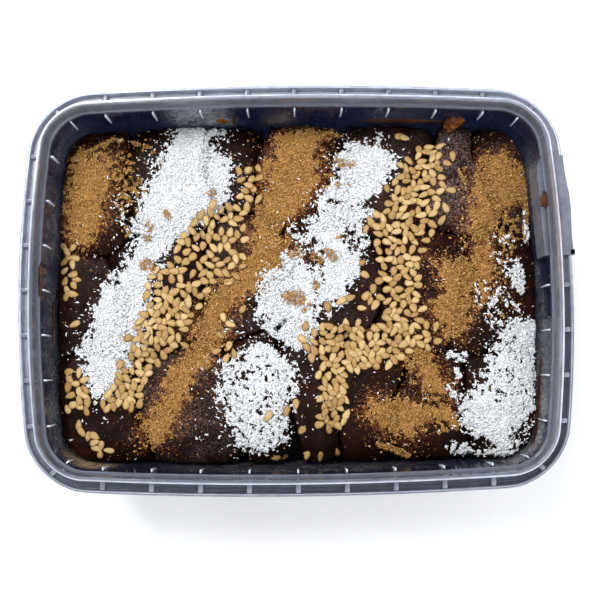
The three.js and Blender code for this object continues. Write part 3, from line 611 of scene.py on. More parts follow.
def tub_profile():
    """Section of the shell: up the outside, over the collar, the moat and the rim, and down the inside"""
    outer_ledge = WALL_AT_LEDGE - WALL_THICKNESS
    outer_floor = WALL_AT_FLOOR - WALL_THICKNESS
    sheet_foot = MOAT_FLOOR - SHEET_THICKNESS
    rim_middle = (RIM_OUTSIDE + RIM_INSIDE) / 2
    # Third number: milkiness with painted sheen; 0.95 at the rim's outer edge is a painted highlight line
    section = round_profile([
        (outer_floor + UNDERSIDE_ROUND, 0, 0.2, 0), (outer_floor + 0.5, 0.3, 0.2, 1),
        (outer_floor, 2.4, 0.12, 1.5), (outer_ledge + 0.1, sheet_foot - 0.6, 0.06, 0.4),
        (outer_ledge - 0.3, sheet_foot, 0.1, 0.3),
        (COLLAR_THICKNESS + 0.1, sheet_foot, 0.2, 0.3),
        (COLLAR_THICKNESS, COLLAR_FOOT, 0.3, 0.25), (0, COLLAR_FOOT, 0.3, 0.25), (0, COLLAR_TOP, 0.46, 0.3),
        (COLLAR_THICKNESS, COLLAR_TOP, 0.44, 0.3), (COLLAR_THICKNESS + 0.15, MOAT_FLOOR, 0.14, 0.3),
        (RIM_OUTSIDE - 0.15, MOAT_FLOOR, 0.1, 0.3), (RIM_OUTSIDE, TUB_HEIGHT, 0.95, 0.5),
        (rim_middle, TUB_HEIGHT, 0.3, 0.2), (RIM_INSIDE, TUB_HEIGHT, 0.26, 0.5),
        (RIM_INSIDE + 0.3, LEDGE_HEIGHT + 0.3, 0.2, 0.4), (WALL_AT_LEDGE, LEDGE_HEIGHT, 0.3, 0.3),
        (wall_inset(LEDGE_HEIGHT - 0.8), LEDGE_HEIGHT - 0.8, 0.03, 0),
    ])
    for z in np.arange(LEDGE_HEIGHT - 2, FLOOR_FILLET, -2.0):
        section.append(np.array([wall_inset(z), z, 0.0]))
    section += round_profile([
        (wall_inset(FLOOR_FILLET), FLOOR_FILLET, 0, 0), (WALL_AT_FLOOR + 0.8, FLOOR_TOP + 0.1, 0, 1),
        (WALL_AT_FLOOR + UNDERSIDE_ROUND, FLOOR_TOP, 0, 0),
    ])
    return section


def far_share(turn):
    """1 at the back and left of the tub, where light falls through the collar, at degrees round it"""
    return smooth_step(-20, 35, turn % 360) * smooth_step(225, 190, turn % 360)


def make_tub(material):
    angles = ring_angles((24, 20, 32))
    profile = tub_profile()
    points = np.concatenate([ring(angles, inset, z) for inset, z, _ in profile])
    piece = add_piece("tub_shell", points, loft_faces(len(profile), len(angles)), material)
    x, y, z = points.T
    across = depth_inside(x, y)
    turn = np.degrees(np.arctan2(y, x))
    milk = np.repeat([milk for _, _, milk in profile], len(angles))
    in_moat = smooth_step(RIM_OUTSIDE + 0.3, RIM_OUTSIDE - 0.3, across) * smooth_step(42, 42.6, z)
    on_rim = smooth_step(RIM_OUTSIDE - 0.3, RIM_OUTSIDE, across) * smooth_step(44.5, 46.5, z)
    lit = smooth_step(-60, -20, turn) * smooth_step(165, 130, turn)
    dust, warm = 0 * x, 0 * x
    on_inside = np.repeat(np.arange(len(profile)) > len(profile) // 2, len(angles))
    # Patches of dust and painted reflection of the toppings, on the inner wall only
    for middle, spread, low, high, strength, warmth in WALL_DUST_AND_REFLECTIONS:
        away = np.abs((turn - middle + 180) % 360 - 180)
        here = (strength * on_inside * smooth_step(1.4 * spread, 0.4 * spread, away)
                * smooth_step(low - 3, low + 2, z) * smooth_step(high + 2, high - 3, z))
        warm = np.where(here > dust, warmth, warm)
        dust = np.maximum(dust, here)
    # Painted light: the moat is lightened at the back and left, and the rim on its lit side
    set_values(piece, milk=milk + FAR_PAINTED_LIGHT * in_moat * far_share(turn) + RIM_PAINTED_HIGHLIGHT * on_rim * lit,
               across=across, dust=dust, warm=warm,
               stain=0.2 * on_rim * smooth_step(-12, 2, y) * smooth_step(38, 30, y) * (x > 0))
    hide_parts("tub")


def end_x(y, inset):
    return HALF_LENGTH - inset - END_BOW * (y / HALF_WIDTH) ** 2


def rib_places(inset):
    """Points on the outline drawn in by inset, each with the way out from it"""
    places = []
    for k in range(-RIBS_EACH_WAY_LONG, RIBS_EACH_WAY_LONG + 1):
        x = k * RIB_PITCH_LONG
        y = HALF_WIDTH - inset - SIDE_BOW * (x / HALF_LENGTH) ** 2
        places += [(x, y, math.pi / 2), (x, -y, -math.pi / 2)]
    for k in range(-RIBS_EACH_WAY_SHORT, RIBS_EACH_WAY_SHORT + 1):
        y = k * RIB_PITCH_SHORT
        x = end_x(y, inset)
        places += [(x, y, 0.0), (-x, y, math.pi)]
    corner = math.atan2(HALF_WIDTH - SIDE_BOW, HALF_LENGTH - END_BOW)
    for angle in (corner, math.pi - corner, math.pi + corner, -corner):
        distance = float(reach(angle, inset))
        turn = math.atan2(math.copysign(1, math.sin(angle)), math.copysign(1, math.cos(angle)))
        places.append((distance * math.cos(angle), distance * math.sin(angle), turn))
    return places


def on_tab(place):
    x, y, turn = place
    return turn == 0 and TAB["start"] - WEB["width"] < y < TAB["end"] + WEB["width"]


def block(place, inwards, outwards, width, foot, top, taper=1.0):
    """Points of an upright block, narrower at its foot by taper; its faces are BLOCK_FACES"""
    x, y, turn = place
    points = []
    for z, share in ((foot, taper), (top, 1.0)):
        for along, across in ((-inwards * share, -1), (outwards, -1), (outwards, 1), (-inwards * share, 1)):
            side = across * width / 2
            points.append((x + along * math.cos(turn) - side * math.sin(turn),
                           y + along * math.sin(turn) + side * math.cos(turn), z))
    return points


BLOCK_FACES = [(3, 2, 1, 0), (4, 5, 6, 7), (0, 1, 5, 4), (1, 2, 6, 5), (2, 3, 7, 6), (3, 0, 4, 7)]


def make_blocks(name, blocks, material, bevel, milks):
    """Upright blocks as one mesh, with each block's milkiness and painted sheen given at its foot and top"""
    points = [point for each in blocks for point in each]
    faces = [[i + 8 * k for i in face] for k in range(len(blocks)) for face in BLOCK_FACES]
    piece = add_piece(name, points, faces, material)
    set_values(piece, milk=np.repeat(np.ravel(milks), 4))
    edge = piece.modifiers.new("edge", "BEVEL")
    edge.width = bevel * MM
    edge.segments = 2
    return piece


def make_ribs_and_webs(plastic):
    ribs = [block(place, RIB["depth"] - OVERLAP, 0.05, RIB["width"], RIB["foot"], LEDGE_HEIGHT - 0.2, 0.5)
            for place in rib_places(wall_inset(RIB["foot"])) if not on_tab(place)]
    # The ribs get the most milkiness and painted sheen, most at their foot
    make_blocks("tub_ribs", ribs, plastic, 0.15, [(1.6, 1.0)] * len(ribs))
    span = RIM_OUTSIDE - COLLAR_THICKNESS
    places = [place for place in rib_places(COLLAR_THICKNESS) if not on_tab(place)]
    webs = [block(place, span, 0.0, WEB["width"], MOAT_FLOOR - 0.1, WEB["top"]) for place in places]
    far = [float(far_share(np.degrees(math.atan2(y, x)))) for x, y, _ in places]
    # The webs get less milkiness and painted sheen at the back and left of the tub
    make_blocks("tub_webs", webs, plastic, 0.3, [(0.4 - 0.05 * share, 0.46 - 0.1 * share) for share in far])


def make_tab(plastic):
    start, end, top = TAB["start"], TAB["end"], TAB["top"]
    rows = np.linspace(start, end, 12)
    outline = []
    for y in rows:
        share = (y - start) / (end - start)
        outline.append((end_x(y, -TAB["proud"] * (1 - 0.5 * share) + 0.25 * math.sin(share * 9)), y))
    outline += [(end_x(y, RIM_OUTSIDE + 0.1), y) for y in rows[::-1]]
    points = [(x, y, z) for z in (top - TAB["thickness"], top) for x, y in outline]
    plate = add_piece("tub_tab", points, loft_faces(2, len(outline)), plastic, smooth=False)
    set_values(plate, milk=[0.28] * len(points))
    points = []
    foot = TAB["step_foot"]
    for step, z in ((0, foot), (TAB["step"], foot + TAB["fade"]), (TAB["step"], LEDGE_HEIGHT)):
        back, front = wall_inset(z) - 0.1, wall_inset(z) + step
        for y, inset in ((start, back), (end, back), (end - TAB["fade"], front), (start, front)):
            points.append((end_x(y, inset), y, z))
    step = add_piece("tub_tab_step", points, loft_faces(3, 4), plastic, smooth=False)
    set_values(step, milk=[0.1, 0.2, 0.3, 0.3] * 3)
    place = (HALF_LENGTH + TAB["proud"] + OVERLAP / 2, start + TAB["stub_width"] / 2, 0.0)
    stub = block(place, TAB["stub_depth"], 0, TAB["stub_width"], COLLAR_FOOT + OVERLAP, top)
    make_blocks("tub_tab_stub", [stub], plastic, 0.2, [(0.0, 0.0)])


def smear(name, place, half_along, half_across, thick, seed, material):
    """Thin lens of smeared filling; place gives the points at (along, across, height above the surface)"""
    around, rings = SMEAR["around"], SMEAR["rings"]
    angle = np.tile(2 * np.pi * np.arange(around) / around, rings)
    out = np.repeat(np.arange(1, rings + 1) / rings, around)
    cos, sin = np.cos(angle), np.sin(angle)
    level = np.full(len(angle), float(seed))
    wander = 1 + SMEAR["wander"] * noise(np.stack([3 * cos, 3 * sin, level], 1), SMEAR["lumps"], seed)
    along, across = half_along * out * cos, half_across * out * sin
    rough = rough_noise(np.stack([along, across, level], 1), SMEAR["lumps"], seed, 2)
    height = thick * np.sqrt(1 - out ** 2) * (1 + SMEAR["rough"] * rough)
    points = place(np.append(0, along * wander), np.append(0, across * wander), np.append(thick, height))
    faces = [(0, 1 + i, 1 + (i + 1) % around) for i in range(around)]
    for r in range(rings - 1):
        a, b = 1 + r * around, 1 + (r + 1) * around
        faces += [(a + i, b + i, b + (i + 1) % around, a + (i + 1) % around) for i in range(around)]
    piece = add_piece(name, points, faces, material)
    set_values(piece, tone=0.5 + SMEAR["rough"] * np.append(0, rough))


def on_wall(degrees, z):
    """Surface of the inner wall near a place, in millimetres along and up it"""
    middle = math.radians(degrees)
    radius = float(reach(middle, wall_inset(z)))

    def place(along, across, height):
        angle = middle - along / radius * math.copysign(1, math.sin(middle))
        distance = reach(angle, wall_inset(z + across) + height)
        return np.stack([distance * np.cos(angle), distance * np.sin(angle), z + across], 1)
    return place


def on_ledge(x, y):
    """Level ledge near a place, in millimetres along y and x"""
    def place(along, across, height):
        return np.stack([x + across, y + along, LEDGE_HEIGHT + 0.02 + height], 1)
    return place


def on_tab_plate(y, inset):
    """Top of the tab's plate near a place, in millimetres along and across it"""
    def place(along, across, height):
        return np.stack([end_x(y + along, inset) + across, y + along, TAB["top"] + height], 1)
    return place


def make_smears():
    brown, amber, pale = (grain_material(name) for name in ("smudge", "syrup", "honey"))
    smear("smear_back_strip", on_wall(57, 32.2), 12.0, 1.7, 0.4, 3, brown)
    smear("smear_lump", on_wall(46.5, 33.2), 2.2, 3.4, 1.9, 5, amber)
    smear("smear_lump_side", on_wall(45.9, 31.6), 1.4, 2.6, 2.4, 15, amber)
    smear("smear_crumb", on_wall(112.9, 32.7), 1.4, 2.2, 0.6, 8, amber)
    smear("smear_drip", on_wall(109.2, 32.5), 0.4, 5.0, 0.2, 11, brown)
    smear("smear_tab", on_ledge(68.3, 23.3), 2.5, 1.5, 0.25, 21, brown)
    smear("smear_ledge", on_ledge(-69.2, 2.3), 4.6, 0.75, 0.25, 23, brown)
    smear("smear_tab_streak", on_tab_plate(26, RIM_OUTSIDE - 0.5), 8.5, 0.2, 0.12, 25, pale)
    smear("smear_tab_streak_low", on_tab_plate(14.8, RIM_OUTSIDE - 0.7), 6.0, 0.35, 0.12, 27, pale)
    smear("smear_right_edge", on_wall(-25, 34.5), 13.0, 1.3, 0.4, 29, brown)
    smear("smear_left_edge", on_wall(187, 33.6), 6.5, 0.8, 0.3, 31, brown)


# Base layer

def make_bed(material):
    angles = ring_angles((20, 14, 24))
    profile = [(WALL_AT_FLOOR + UNDERSIDE_ROUND + CLEARANCE, FLOOR_TOP + CLEARANCE),
               (WALL_AT_FLOOR + UNDERSIDE_ROUND / 2, FLOOR_TOP + 3 * CLEARANCE),
               (wall_inset(FLOOR_FILLET) + CLEARANCE, FLOOR_FILLET + OVERLAP)]
    for z in np.linspace(FLOOR_FILLET + OVERLAP, BED_TOP - 1, 9)[1:]:
        profile.append((wall_inset(z) + CLEARANCE, z))
    rings = [ring(angles, inset, z) for inset, z in profile]
    last = rings[-1]
    for share in BED_SHARES:
        flat = last * (share, share, 1)
        flat[:, 2] = BED_TOP + BED_SWELL["height"] * unevenness(flat[:, 0], flat[:, 1], 0, BED_SWELL["size"])
        rings.append(flat)
    points = np.concatenate(rings)
    crumb = rough_noise(points, BED_CRUMB["size"], 5)
    inwards = points * (1, 1, 0) / np.hypot(points[:, 0], points[:, 1])[:, None]
    depth = BED_CRUMB["depth"] * (crumb + 1) * (points[:, 2] > BED_CRUMB["from"])
    points = points - inwards * depth[:, None]
    piece = add_piece("bed_paste", points, loft_faces(len(rings), len(angles)), material)
    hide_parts("bed")


# Dates

def wall_facets():
    """Flat facets of the inner wall, as points on them and the ways out"""
    angles = ring_angles((2, 5, 3))
    low = ring(angles, wall_inset(BED_TOP) + CLEARANCE, BED_TOP)
    high = ring(angles, wall_inset(LEDGE_HEIGHT) + CLEARANCE, LEDGE_HEIGHT)
    normal = np.cross(np.roll(low, -1, axis=0) - low, high - low)
    return low, normal / np.linalg.norm(normal, axis=1)[:, None]


def band_rows(bands, x, y):
    """For each band of topping: its half width at points, and their way from its middle and to its ends"""
    for band in bands:
        rows = np.array(band, float)[::-1]
        half = np.interp(y, rows[:, 0], rows[:, 2])
        off = np.abs(x - np.interp(y, rows[:, 0], rows[:, 1]))
        yield half, off, np.minimum(y - rows[0, 0], rows[-1, 0] - y)


def band_cover(bands, x, y):
    """How far inside a topping band points lie: 1 on its middle line, 0 at its edge"""
    covers = [np.where(end >= 0, 1 - off / half, 0) for half, off, end in band_rows(bands, x, y)]
    return np.maximum(0, np.max(covers, axis=0))


def band_margin(bands, x, y):
    """How many millimetres inside a topping band points lie, below 0 outside it"""
    margins = []
    for half, off, end in band_rows(bands, x, y):
        side = half - off
        outside = -np.hypot(np.minimum(side, 0), np.minimum(end, 0))
        margins.append(np.where((side > 0) & (end > 0), np.minimum(side, end + 1), outside))
    return np.max(margins, axis=0)


def nearness(kind, x, y, fade):
    """1 on the bands of a topping, less with the distance from them"""
    return np.exp(np.minimum(band_margin(TOPPINGS[kind]["bands"], x, y), 0) / fade)


def patch_share(patches, x, y):
    """Share of the surface that small patches cover at points"""
    best = np.zeros(np.shape(x))
    for x0, y0, x1, y1, half, share in patches:
        along = ((x - x0) * (x1 - x0) + (y - y0) * (y1 - y0)) / ((x1 - x0) ** 2 + (y1 - y0) ** 2)
        along = np.clip(along, 0, 1)
        distance = np.hypot(x - x0 - along * (x1 - x0), y - y0 - along * (y1 - y0))
        best = np.maximum(best, share * smooth_step(-0.4 * half, 0.4 * half, half - distance))
    return best


def clumped(share, x, y, size, seed):
    """1 in the clumps of a powder that covers a share of the surface, 0 between them"""
    rough = np.tanh(CLUMPS["sharpness"] * flat_noise(x, y, size, seed))
    edge = CLUMPS["edge"]
    return smooth_step(-edge, edge, CLUMPS["gain"] * share - edge - (1 + rough) / 2)


def cover(kind, x, y):
    """1 where a topping covers the dates, 0 between its clumps; the edges of its bands wander"""
    form = TOPPINGS[kind]
    margin = band_margin(form["bands"], x, y) + WANDER["by"] * flat_noise(x, y, WANDER["size"], form["seed"])
    share = form["full"] * smooth_step(*form["edge"], margin) * (1 - patch_share(form["gaps"], x, y))
    share = np.maximum(share, patch_share(form["patches"], x, y))
    return clumped(share, x, y, form["clump"], form["seed"] + 4)


def heap_depth(x, y):
    """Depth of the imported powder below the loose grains"""
    coconut, cinnamon = (form["heap"] * np.minimum(1, form["heap_slope"] * band_cover(form["bands"], x, y))
                         for form in (TOPPINGS["coconut"], TOPPINGS["cinnamon"]))
    rough = 1 - 0.25 * (1 - unevenness(x, y, 3, 0.9))
    return np.maximum(coconut * rough, cinnamon)


def list_dates():
    draw = make_draw(562)
    dates = []
    for row, (wall, end, edges) in DATE_ROWS.items():
        for i, (left, y, top) in enumerate(edges):
            right = edges[i + 1][0] if i + 1 < len(edges) else end
            width = right - left
            z = DATE_MIDDLE + DATE_SHIFT["up"] * (draw() - 0.5)
            dates.append({
                "name": f"date_{row}_{i + 1}", "wall": wall, "centre": np.array([(left + right) / 2, y, z]),
                "half": np.array([DATE_FULLNESS * width, DATE_HALF_LENGTH, top - DATE_MIDDLE]),
                "turn": DATE_SHIFT["turn"] * (draw() - 0.5), "girth": width / 2,
            })
    return dates


def wave(shape, along, across):
    bend = shape["bend"] * np.sin(across / shape["bend_length"])
    return np.sin(along / shape["length"] + bend + shape["start"])


def push(x, y):
    """Sideways push that bends the boundaries between the dates, and fades out towards the wall"""
    size = SQUEEZE["size"] * np.clip((depth_inside(x, y) - WALL_AT_FLOOR) / SQUEEZE["fade"], 0, 1)
    return size * wave(SQUEEZE_IN_X, y, x), size * wave(SQUEEZE_IN_Y, x, y)


def pushed(points):
    x, y, z = points.T
    push_x, push_y = push(x, y)
    return np.stack([x + push_x, y + push_y, z], 1)


def soft_least(distances, sharpness):
    return np.sum(np.stack(distances) ** -float(sharpness), axis=0) ** (-1 / sharpness)


def free_reach(date, ways):
    """Distance from a date's centre to the plump skin that it would have alone, with its heap"""
    cos, sin = math.cos(date["turn"]), math.sin(date["turn"])
    x, y, z = ways.T
    centre = date["centre"]
    to_wall = DATE_END_AT_WALL - abs(centre[1])
    half_length = np.where(y * date["wall"] > 0, to_wall, date["half"][1])
    plump = (np.abs((x * cos + y * sin) / date["half"][0]) ** DATE_SQUARENESS
             + np.abs((y * cos - x * sin) / half_length) ** DATE_SQUARENESS
             + np.abs(z / date["half"][2]) ** DATE_SQUARENESS)
    free = plump ** (-1 / DATE_SQUARENESS)
    skin = pushed(centre + ways * free[:, None])
    lumps = 1 + SKIN_LUMPS["share"] * unevenness(*skin.T, SKIN_LUMPS["size"])
    return free * lumps + np.maximum(0, z) * heap_depth(skin[:, 0], skin[:, 1])


def pressed_reach(date, dates, facets, ways):
    """Distance to the skin pressed flat by the wall, the neighbours and the bed"""
    points, normals = facets
    centre = date["centre"]
    far = 1e6
    rates = ways @ normals.T
    room = np.sum((points - centre) * normals, axis=1)
    stops = [np.min(np.where(rates > 1e-9, room / np.maximum(rates, 1e-9), far), axis=1)]
    for other in dates:
        between = other["centre"] - centre
        gap = np.linalg.norm(between)
        if other is not date and gap < NEIGHBOUR_REACH:
            room = (gap ** 2 + date["girth"] ** 2 - other["girth"] ** 2) / (2 * gap) - DATE_GAP / 2
            rate = ways @ (between / gap)
            stops.append(np.where(rate > 1e-9, room / np.maximum(rate, 1e-9), far))
    down = -ways[:, 2]
    stops.append(np.where(down > 1e-9, (centre[2] - DATE_FOOT) / np.maximum(down, 1e-9), far))
    return soft_least([free_reach(date, ways), soft_least(stops, PRESS_SHARPNESS)], SKIN_SHARPNESS)


def icosphere(levels):
    mesh = bpy.data.meshes.new("directions")
    made = bmesh.new()
    bmesh.ops.create_icosphere(made, subdivisions=levels, radius=1)
    made.to_mesh(mesh)
    made.free()
    points = np.array([v.co for v in mesh.vertices])
    faces = [tuple(p.vertices) for p in mesh.polygons]
    bpy.data.meshes.remove(mesh)
    return points, faces


def creases(date, points):
    """Shallow folds in a date's skin, 0 on the skin and 1 in a fold"""
    local = points - date["centre"]
    seed = int(abs(date["centre"][0]) * 7) % 97
    warp = FOLDS["warp"] * rough_noise(points, FOLDS["warp_size"], seed)
    stretched = local * (1, FOLDS["stretch"], 1) + warp[:, None]
    folds = 1 - np.abs(rough_noise(stretched, FOLDS["size"], seed + 11, 2)) * FOLDS["sharpness"]
    return np.clip(folds, 0, 1) ** 2


def patches(points, form):
    return rough_noise(points, form["size"], form["seed"])


def make_dates(material):
    dates = list_dates()
    facets = wall_facets()
    directions, faces = icosphere(6)
    pieces = []
    for date in dates:
        ways = directions * date["half"]
        ways = ways / np.linalg.norm(ways, axis=1)[:, None]
        skin = pressed_reach(date, dates, facets, ways)
        points = date["centre"] + ways * skin[:, None]
        covered = np.clip(heap_depth(points[:, 0], points[:, 1]), 0, 1) * (ways[:, 2] > 0)
        skin = skin - FOLDS["depth"] * creases(date, points) * (1 - FOLDS["filled"] * covered)
        skin = skin + FOLDS["roughness"] * rough_noise(points, FOLDS["rough_size"], 3)
        points = pushed(date["centre"] + ways * skin[:, None])
        piece = add_piece(date["name"] + "_skin", points, faces, material)
        x, y, z = points.T
        up = smooth_step(0.0, 0.35, ways[:, 2])
        damp = nearness("cinnamon", x, y, DAMP_REACH) + DAMP_PATCHES["share"] * patches(points, DAMP_PATCHES)
        bloom = BLOOM_PATCHES["level"] + BLOOM_PATCHES["share"] * patches(points, BLOOM_PATCHES)
        bloom = BLOOM_DATES.get(date["name"], BLOOM_ELSEWHERE) * up * bloom
        set_values(piece, cinnamon=up * POWDER * cover("cinnamon", x, y),
                   coconut=up * POWDER * smooth_step(0.25, 0.95, cover("coconut", x, y)),
                   damp=up * np.clip(damp, 0, 1), bloom=np.clip(bloom, 0, 1))
        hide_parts(date["name"])
        pieces.append(piece)
    return pieces


# Toppings that lie on the dates

class Heights:
    """Height of what lies in the tub, over a fine grid"""

    cell = 0.25
    ray_start = 0.1

    def __init__(self, pieces):
        self.columns = int(2 * HALF_LENGTH / self.cell)
        self.rows = int(2 * HALF_WIDTH / self.cell)
        self.z = np.zeros((self.rows, self.columns))
        for piece in pieces:
            self.add_mesh(piece)

    def add_mesh(self, piece):
        tree = BVHTree.FromObject(piece, bpy.context.evaluated_depsgraph_get())
        low = np.array(piece.bound_box).min(0) / MM
        high = np.array(piece.bound_box).max(0) / MM
        c0, r0 = self.index(low[0], low[1])
        c1, r1 = self.index(high[0], high[1])
        down = Vector((0, 0, -1))
        for r in range(int(r0), int(r1) + 1):
            y = ((r + 0.5) * self.cell - HALF_WIDTH) * MM
            for c in range(int(c0), int(c1) + 1):
                x = ((c + 0.5) * self.cell - HALF_LENGTH) * MM
                hit = tree.ray_cast(Vector((x, y, self.ray_start)), down)[0]
                if hit is not None:
                    self.z[r, c] = max(self.z[r, c], hit.z / MM)

    def bridge_creases(self, spread, sag):
        """Fill narrow creases as loose toppings do, sagging a little into them"""
        closed = self.z
        for least in (False, True):
            for axis in (0, 1):
                moved = [np.roll(closed, k, axis) for k in range(-spread, spread + 1)]
                closed = np.min(moved, 0) if least else np.max(moved, 0)
        bridged = np.where(self.z > 0, np.maximum(self.z, closed - sag), self.z)
        self.hollow = bridged - self.z
        self.z = bridged

    def in_crease(self, x, y):
        """1 over the bridged creases, 0 on the dates"""
        column, row = self.index(x, y)
        return smooth_step(0.1, 0.4, self.hollow[row, column])

    def index(self, x, y):
        column = np.clip((np.asarray(x) + HALF_LENGTH) / self.cell, 0, self.columns - 1).astype(int)
        row = np.clip((np.asarray(y) + HALF_WIDTH) / self.cell, 0, self.rows - 1).astype(int)
        return column, row

    def at(self, x, y):
        column, row = self.index(x, y)
        return self.z[row, column]

    def raise_to(self, x, y, z):
        column, row = self.index(x, y)
        np.maximum.at(self.z, (row, column), z)


def lay_down(heights, x, y, turn, size, steepest, bedded):
    """Frames of grains that come to rest on what is below them: places, three axes and size for each.
    size has rows of (length, width, thickness); bedded is 1 where a grain follows the mean height below it
    and 0 where it rests on the highest point"""
    length, width, thick = size.T
    cos, sin = np.cos(turn), np.sin(turn)
    reach_x, reach_y = HELD_AT * length * cos, HELD_AT * length * sin
    side_x, side_y = -HELD_AT * width * sin, HELD_AT * width * cos
    front, back = heights.at(x + reach_x, y + reach_y), heights.at(x - reach_x, y - reach_y)
    left, right = heights.at(x + side_x, y + side_y), heights.at(x - side_x, y - side_y)
    slope = np.clip((front - back) / (2 * HELD_AT * length), -steepest, steepest)
    lean = np.clip((left - right) / (2 * HELD_AT * width), -steepest, steepest)
    samples = np.stack([heights.at(x, y), (front + back) / 2, (left + right) / 2])
    rest = bedded * samples.mean(0) + (1 - bedded) * samples.max(0)
    along = np.stack([cos, sin, slope], 1)
    along /= np.linalg.norm(along, axis=1)[:, None]
    up = np.cross(along, np.stack([-sin, cos, lean], 1))
    up /= np.linalg.norm(up, axis=1)[:, None]
    place = np.stack([x, y, rest], 1) + up * (LIFT * thick)[:, None]
    return place, along, np.cross(up, along), up, size


def stamp(heights, place, along, across, up, size, steps):
    """Raise the heights to the tops of laid grains, taken as flat domes"""
    shares = np.linspace(-DOME["reach"], DOME["reach"], steps)
    for a in shares:
        for b in shares:
            if math.hypot(a, b) < 0.5:
                top = DOME["height"] * math.sqrt(1 - (a * a + b * b) / DOME["radius"] ** 2)
                point = place + along * (a * size[:, :1]) + across * (b * size[:, 1:2])
                heights.raise_to(*(point + up * (top * size[:, 2:])).T)


def inside_tub(x, y, z, margin):
    return depth_inside(x, y) > wall_inset(z) + margin


def scatter(heights, density, tries, seed, size_of, steepest, bedded):
    """Throw grains at random places, keep each by the density there, and let them come to rest in batches"""
    draw = np.random.default_rng(seed)
    frames = []
    for _ in range(BATCHES):
        count = tries // BATCHES
        x = draw.uniform(-HALF_LENGTH, HALF_LENGTH, count)
        y = draw.uniform(-HALF_WIDTH, HALF_WIDTH, count)
        keep = draw.uniform(0, 1, count) < density(x, y)
        x, y = x[keep], y[keep]
        size = size_of(draw, len(x))
        turn = draw.uniform(0, 2 * math.pi, len(x))
        ground = heights.at(x, y)
        keep = (ground > DATE_FOOT) & inside_tub(x, y, ground, CLEARANCE + 0.4 * size[:, 0])
        laid = lay_down(heights, x[keep], y[keep], turn[keep], size[keep], steepest, bedded)
        stamp(heights, *laid, 3)
        frames.append(laid)
    return frames


def coconut_size(draw, count):
    length = np.clip(draw.gamma(5, 0.17, count), 0.45, 2.6)
    width = np.clip(length * draw.uniform(0.26, 0.7, count), 0.2, 0.58)
    return np.stack([length, width, draw.uniform(0.12, 0.28, count)], 1)


def cinnamon_size(draw, count):
    length = np.clip(draw.gamma(5, 0.09, count), 0.24, 1.0)
    width = length * draw.uniform(0.6, 0.95, count)
    return np.stack([length, width, length * draw.uniform(0.3, 0.5, count)], 1)


def strew(heights, kind, size_of):
    """Loose pieces of a topping: first where it bridges creases, then all over by its cover, with strays"""
    form = TOPPINGS[kind]

    def in_creases(x, y):
        return heights.in_crease(x, y) * cover(kind, x, y)

    def anywhere(x, y):
        strays = form["near"] * nearness(kind, x, y, form["fade"])
        return np.clip(cover(kind, x, y) + strays + form["far"], 0, 1)

    frames = []
    for density, (tries, seed) in zip((in_creases, anywhere), form["throws"]):
        frames += scatter(heights, density, tries, seed, size_of, form["lie"], form["lie"])
    return frames


def dust_over(heights):
    """Pinches of cinnamon on top of the other toppings"""
    def density(x, y):
        return clumped(patch_share(CINNAMON_DUSTINGS, x, y), x, y, DUSTING["clump"], DUSTING["clump_seed"])
    return scatter(heights, density, DUSTING["tries"], DUSTING["seed"], cinnamon_size,
                   DUSTING["steepest"], DUSTING["bedded"])


def grains_piece(name, frames, shape, faces, jitter, seed, spread, shade=0.0):
    """One mesh of many grains: shape is the points of a grain in units of its length, width and thickness,
    spread how far tones lie below the lightest, and shade how much lighter each point is than its grain; for
    the sesame seeds the shade darkens their edges and tips as their own rim and painted contact shadow"""
    most = MOST_TRIANGLES // len(faces)
    place, along, across, up, size = [np.concatenate(part)[:most] for part in zip(*frames)]
    count, corners = len(place), len(shape)
    tone = np.random.default_rng(seed).uniform(1 - spread, 1, count)
    draw = np.random.default_rng(seed + 1)
    local = np.repeat(shape[None], count, axis=0) * size[:, None, :]
    local = local * (1 + jitter * draw.uniform(-1, 1, local.shape))
    points = (place[:, None, :] + local[..., :1] * along[:, None, :] + local[..., 1:2] * across[:, None, :]
              + local[..., 2:] * up[:, None, :]).reshape(-1, 3)
    index = (np.asarray(faces)[None] + (np.arange(count) * corners)[:, None, None]).reshape(-1, 3)
    mesh = bpy.data.meshes.new(name)
    mesh.vertices.add(len(points))
    mesh.vertices.foreach_set("co", (points * MM).ravel())
    mesh.loops.add(index.size)
    mesh.loops.foreach_set("vertex_index", index.ravel())
    mesh.polygons.add(len(index))
    mesh.polygons.foreach_set("loop_start", np.arange(0, index.size, 3))
    mesh.update(calc_edges=True)
    mesh.materials.append(grain_material(name))
    piece = add_object(name, mesh)
    set_values(piece, tone=(tone[:, None] + shade + np.zeros(corners)).ravel())
    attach(piece, "root")
    return piece


def seed_shape(around=12, rings=7):
    """Points, faces and shade of a sesame seed: a flat drop, round at one end and pointed at the other; the
    shade darkens its edges and tips, partly its own rim and partly painted contact shadow
    """
    points, faces, shade = [(-0.5, 0, 0)], [], [SEED_EDGE_SHADOW]
    for r in range(1, rings):
        t = r / rings
        x = -0.5 * math.cos(math.pi * t)
        half = 1.2 * (x + 0.5) ** 0.5 * (0.5 - x) ** 0.78
        rise = 0.5 * math.sin(math.pi * t) ** 0.6
        for i in range(around):
            angle = 2 * math.pi * i / around
            across, up = math.cos(angle), math.sin(angle)
            points.append((x, half * math.copysign(abs(across) ** 0.75, across),
                           rise * math.copysign(abs(up) ** 0.6, up)))
            # Darker towards the edges and the tips: the seed's own rim and painted contact shadow
            shade.append(SEED_EDGE_SHADOW * max(abs(across) ** 3, (2 * abs(x)) ** 6))
    points.append((0.5, 0, 0))
    shade.append(SEED_EDGE_SHADOW)
    last = len(points) - 1
    for i in range(around):
        j = (i + 1) % around
        faces.append((0, 1 + i, 1 + j))
        for r in range(rings - 2):
            a, b = 1 + r * around + i, 1 + r * around + j
            faces += [(a, a + around, b), (b, a + around, b + around)]
        faces.append((last, last - around + j, last - around + i))
    return np.array(points), faces, np.array(shade)


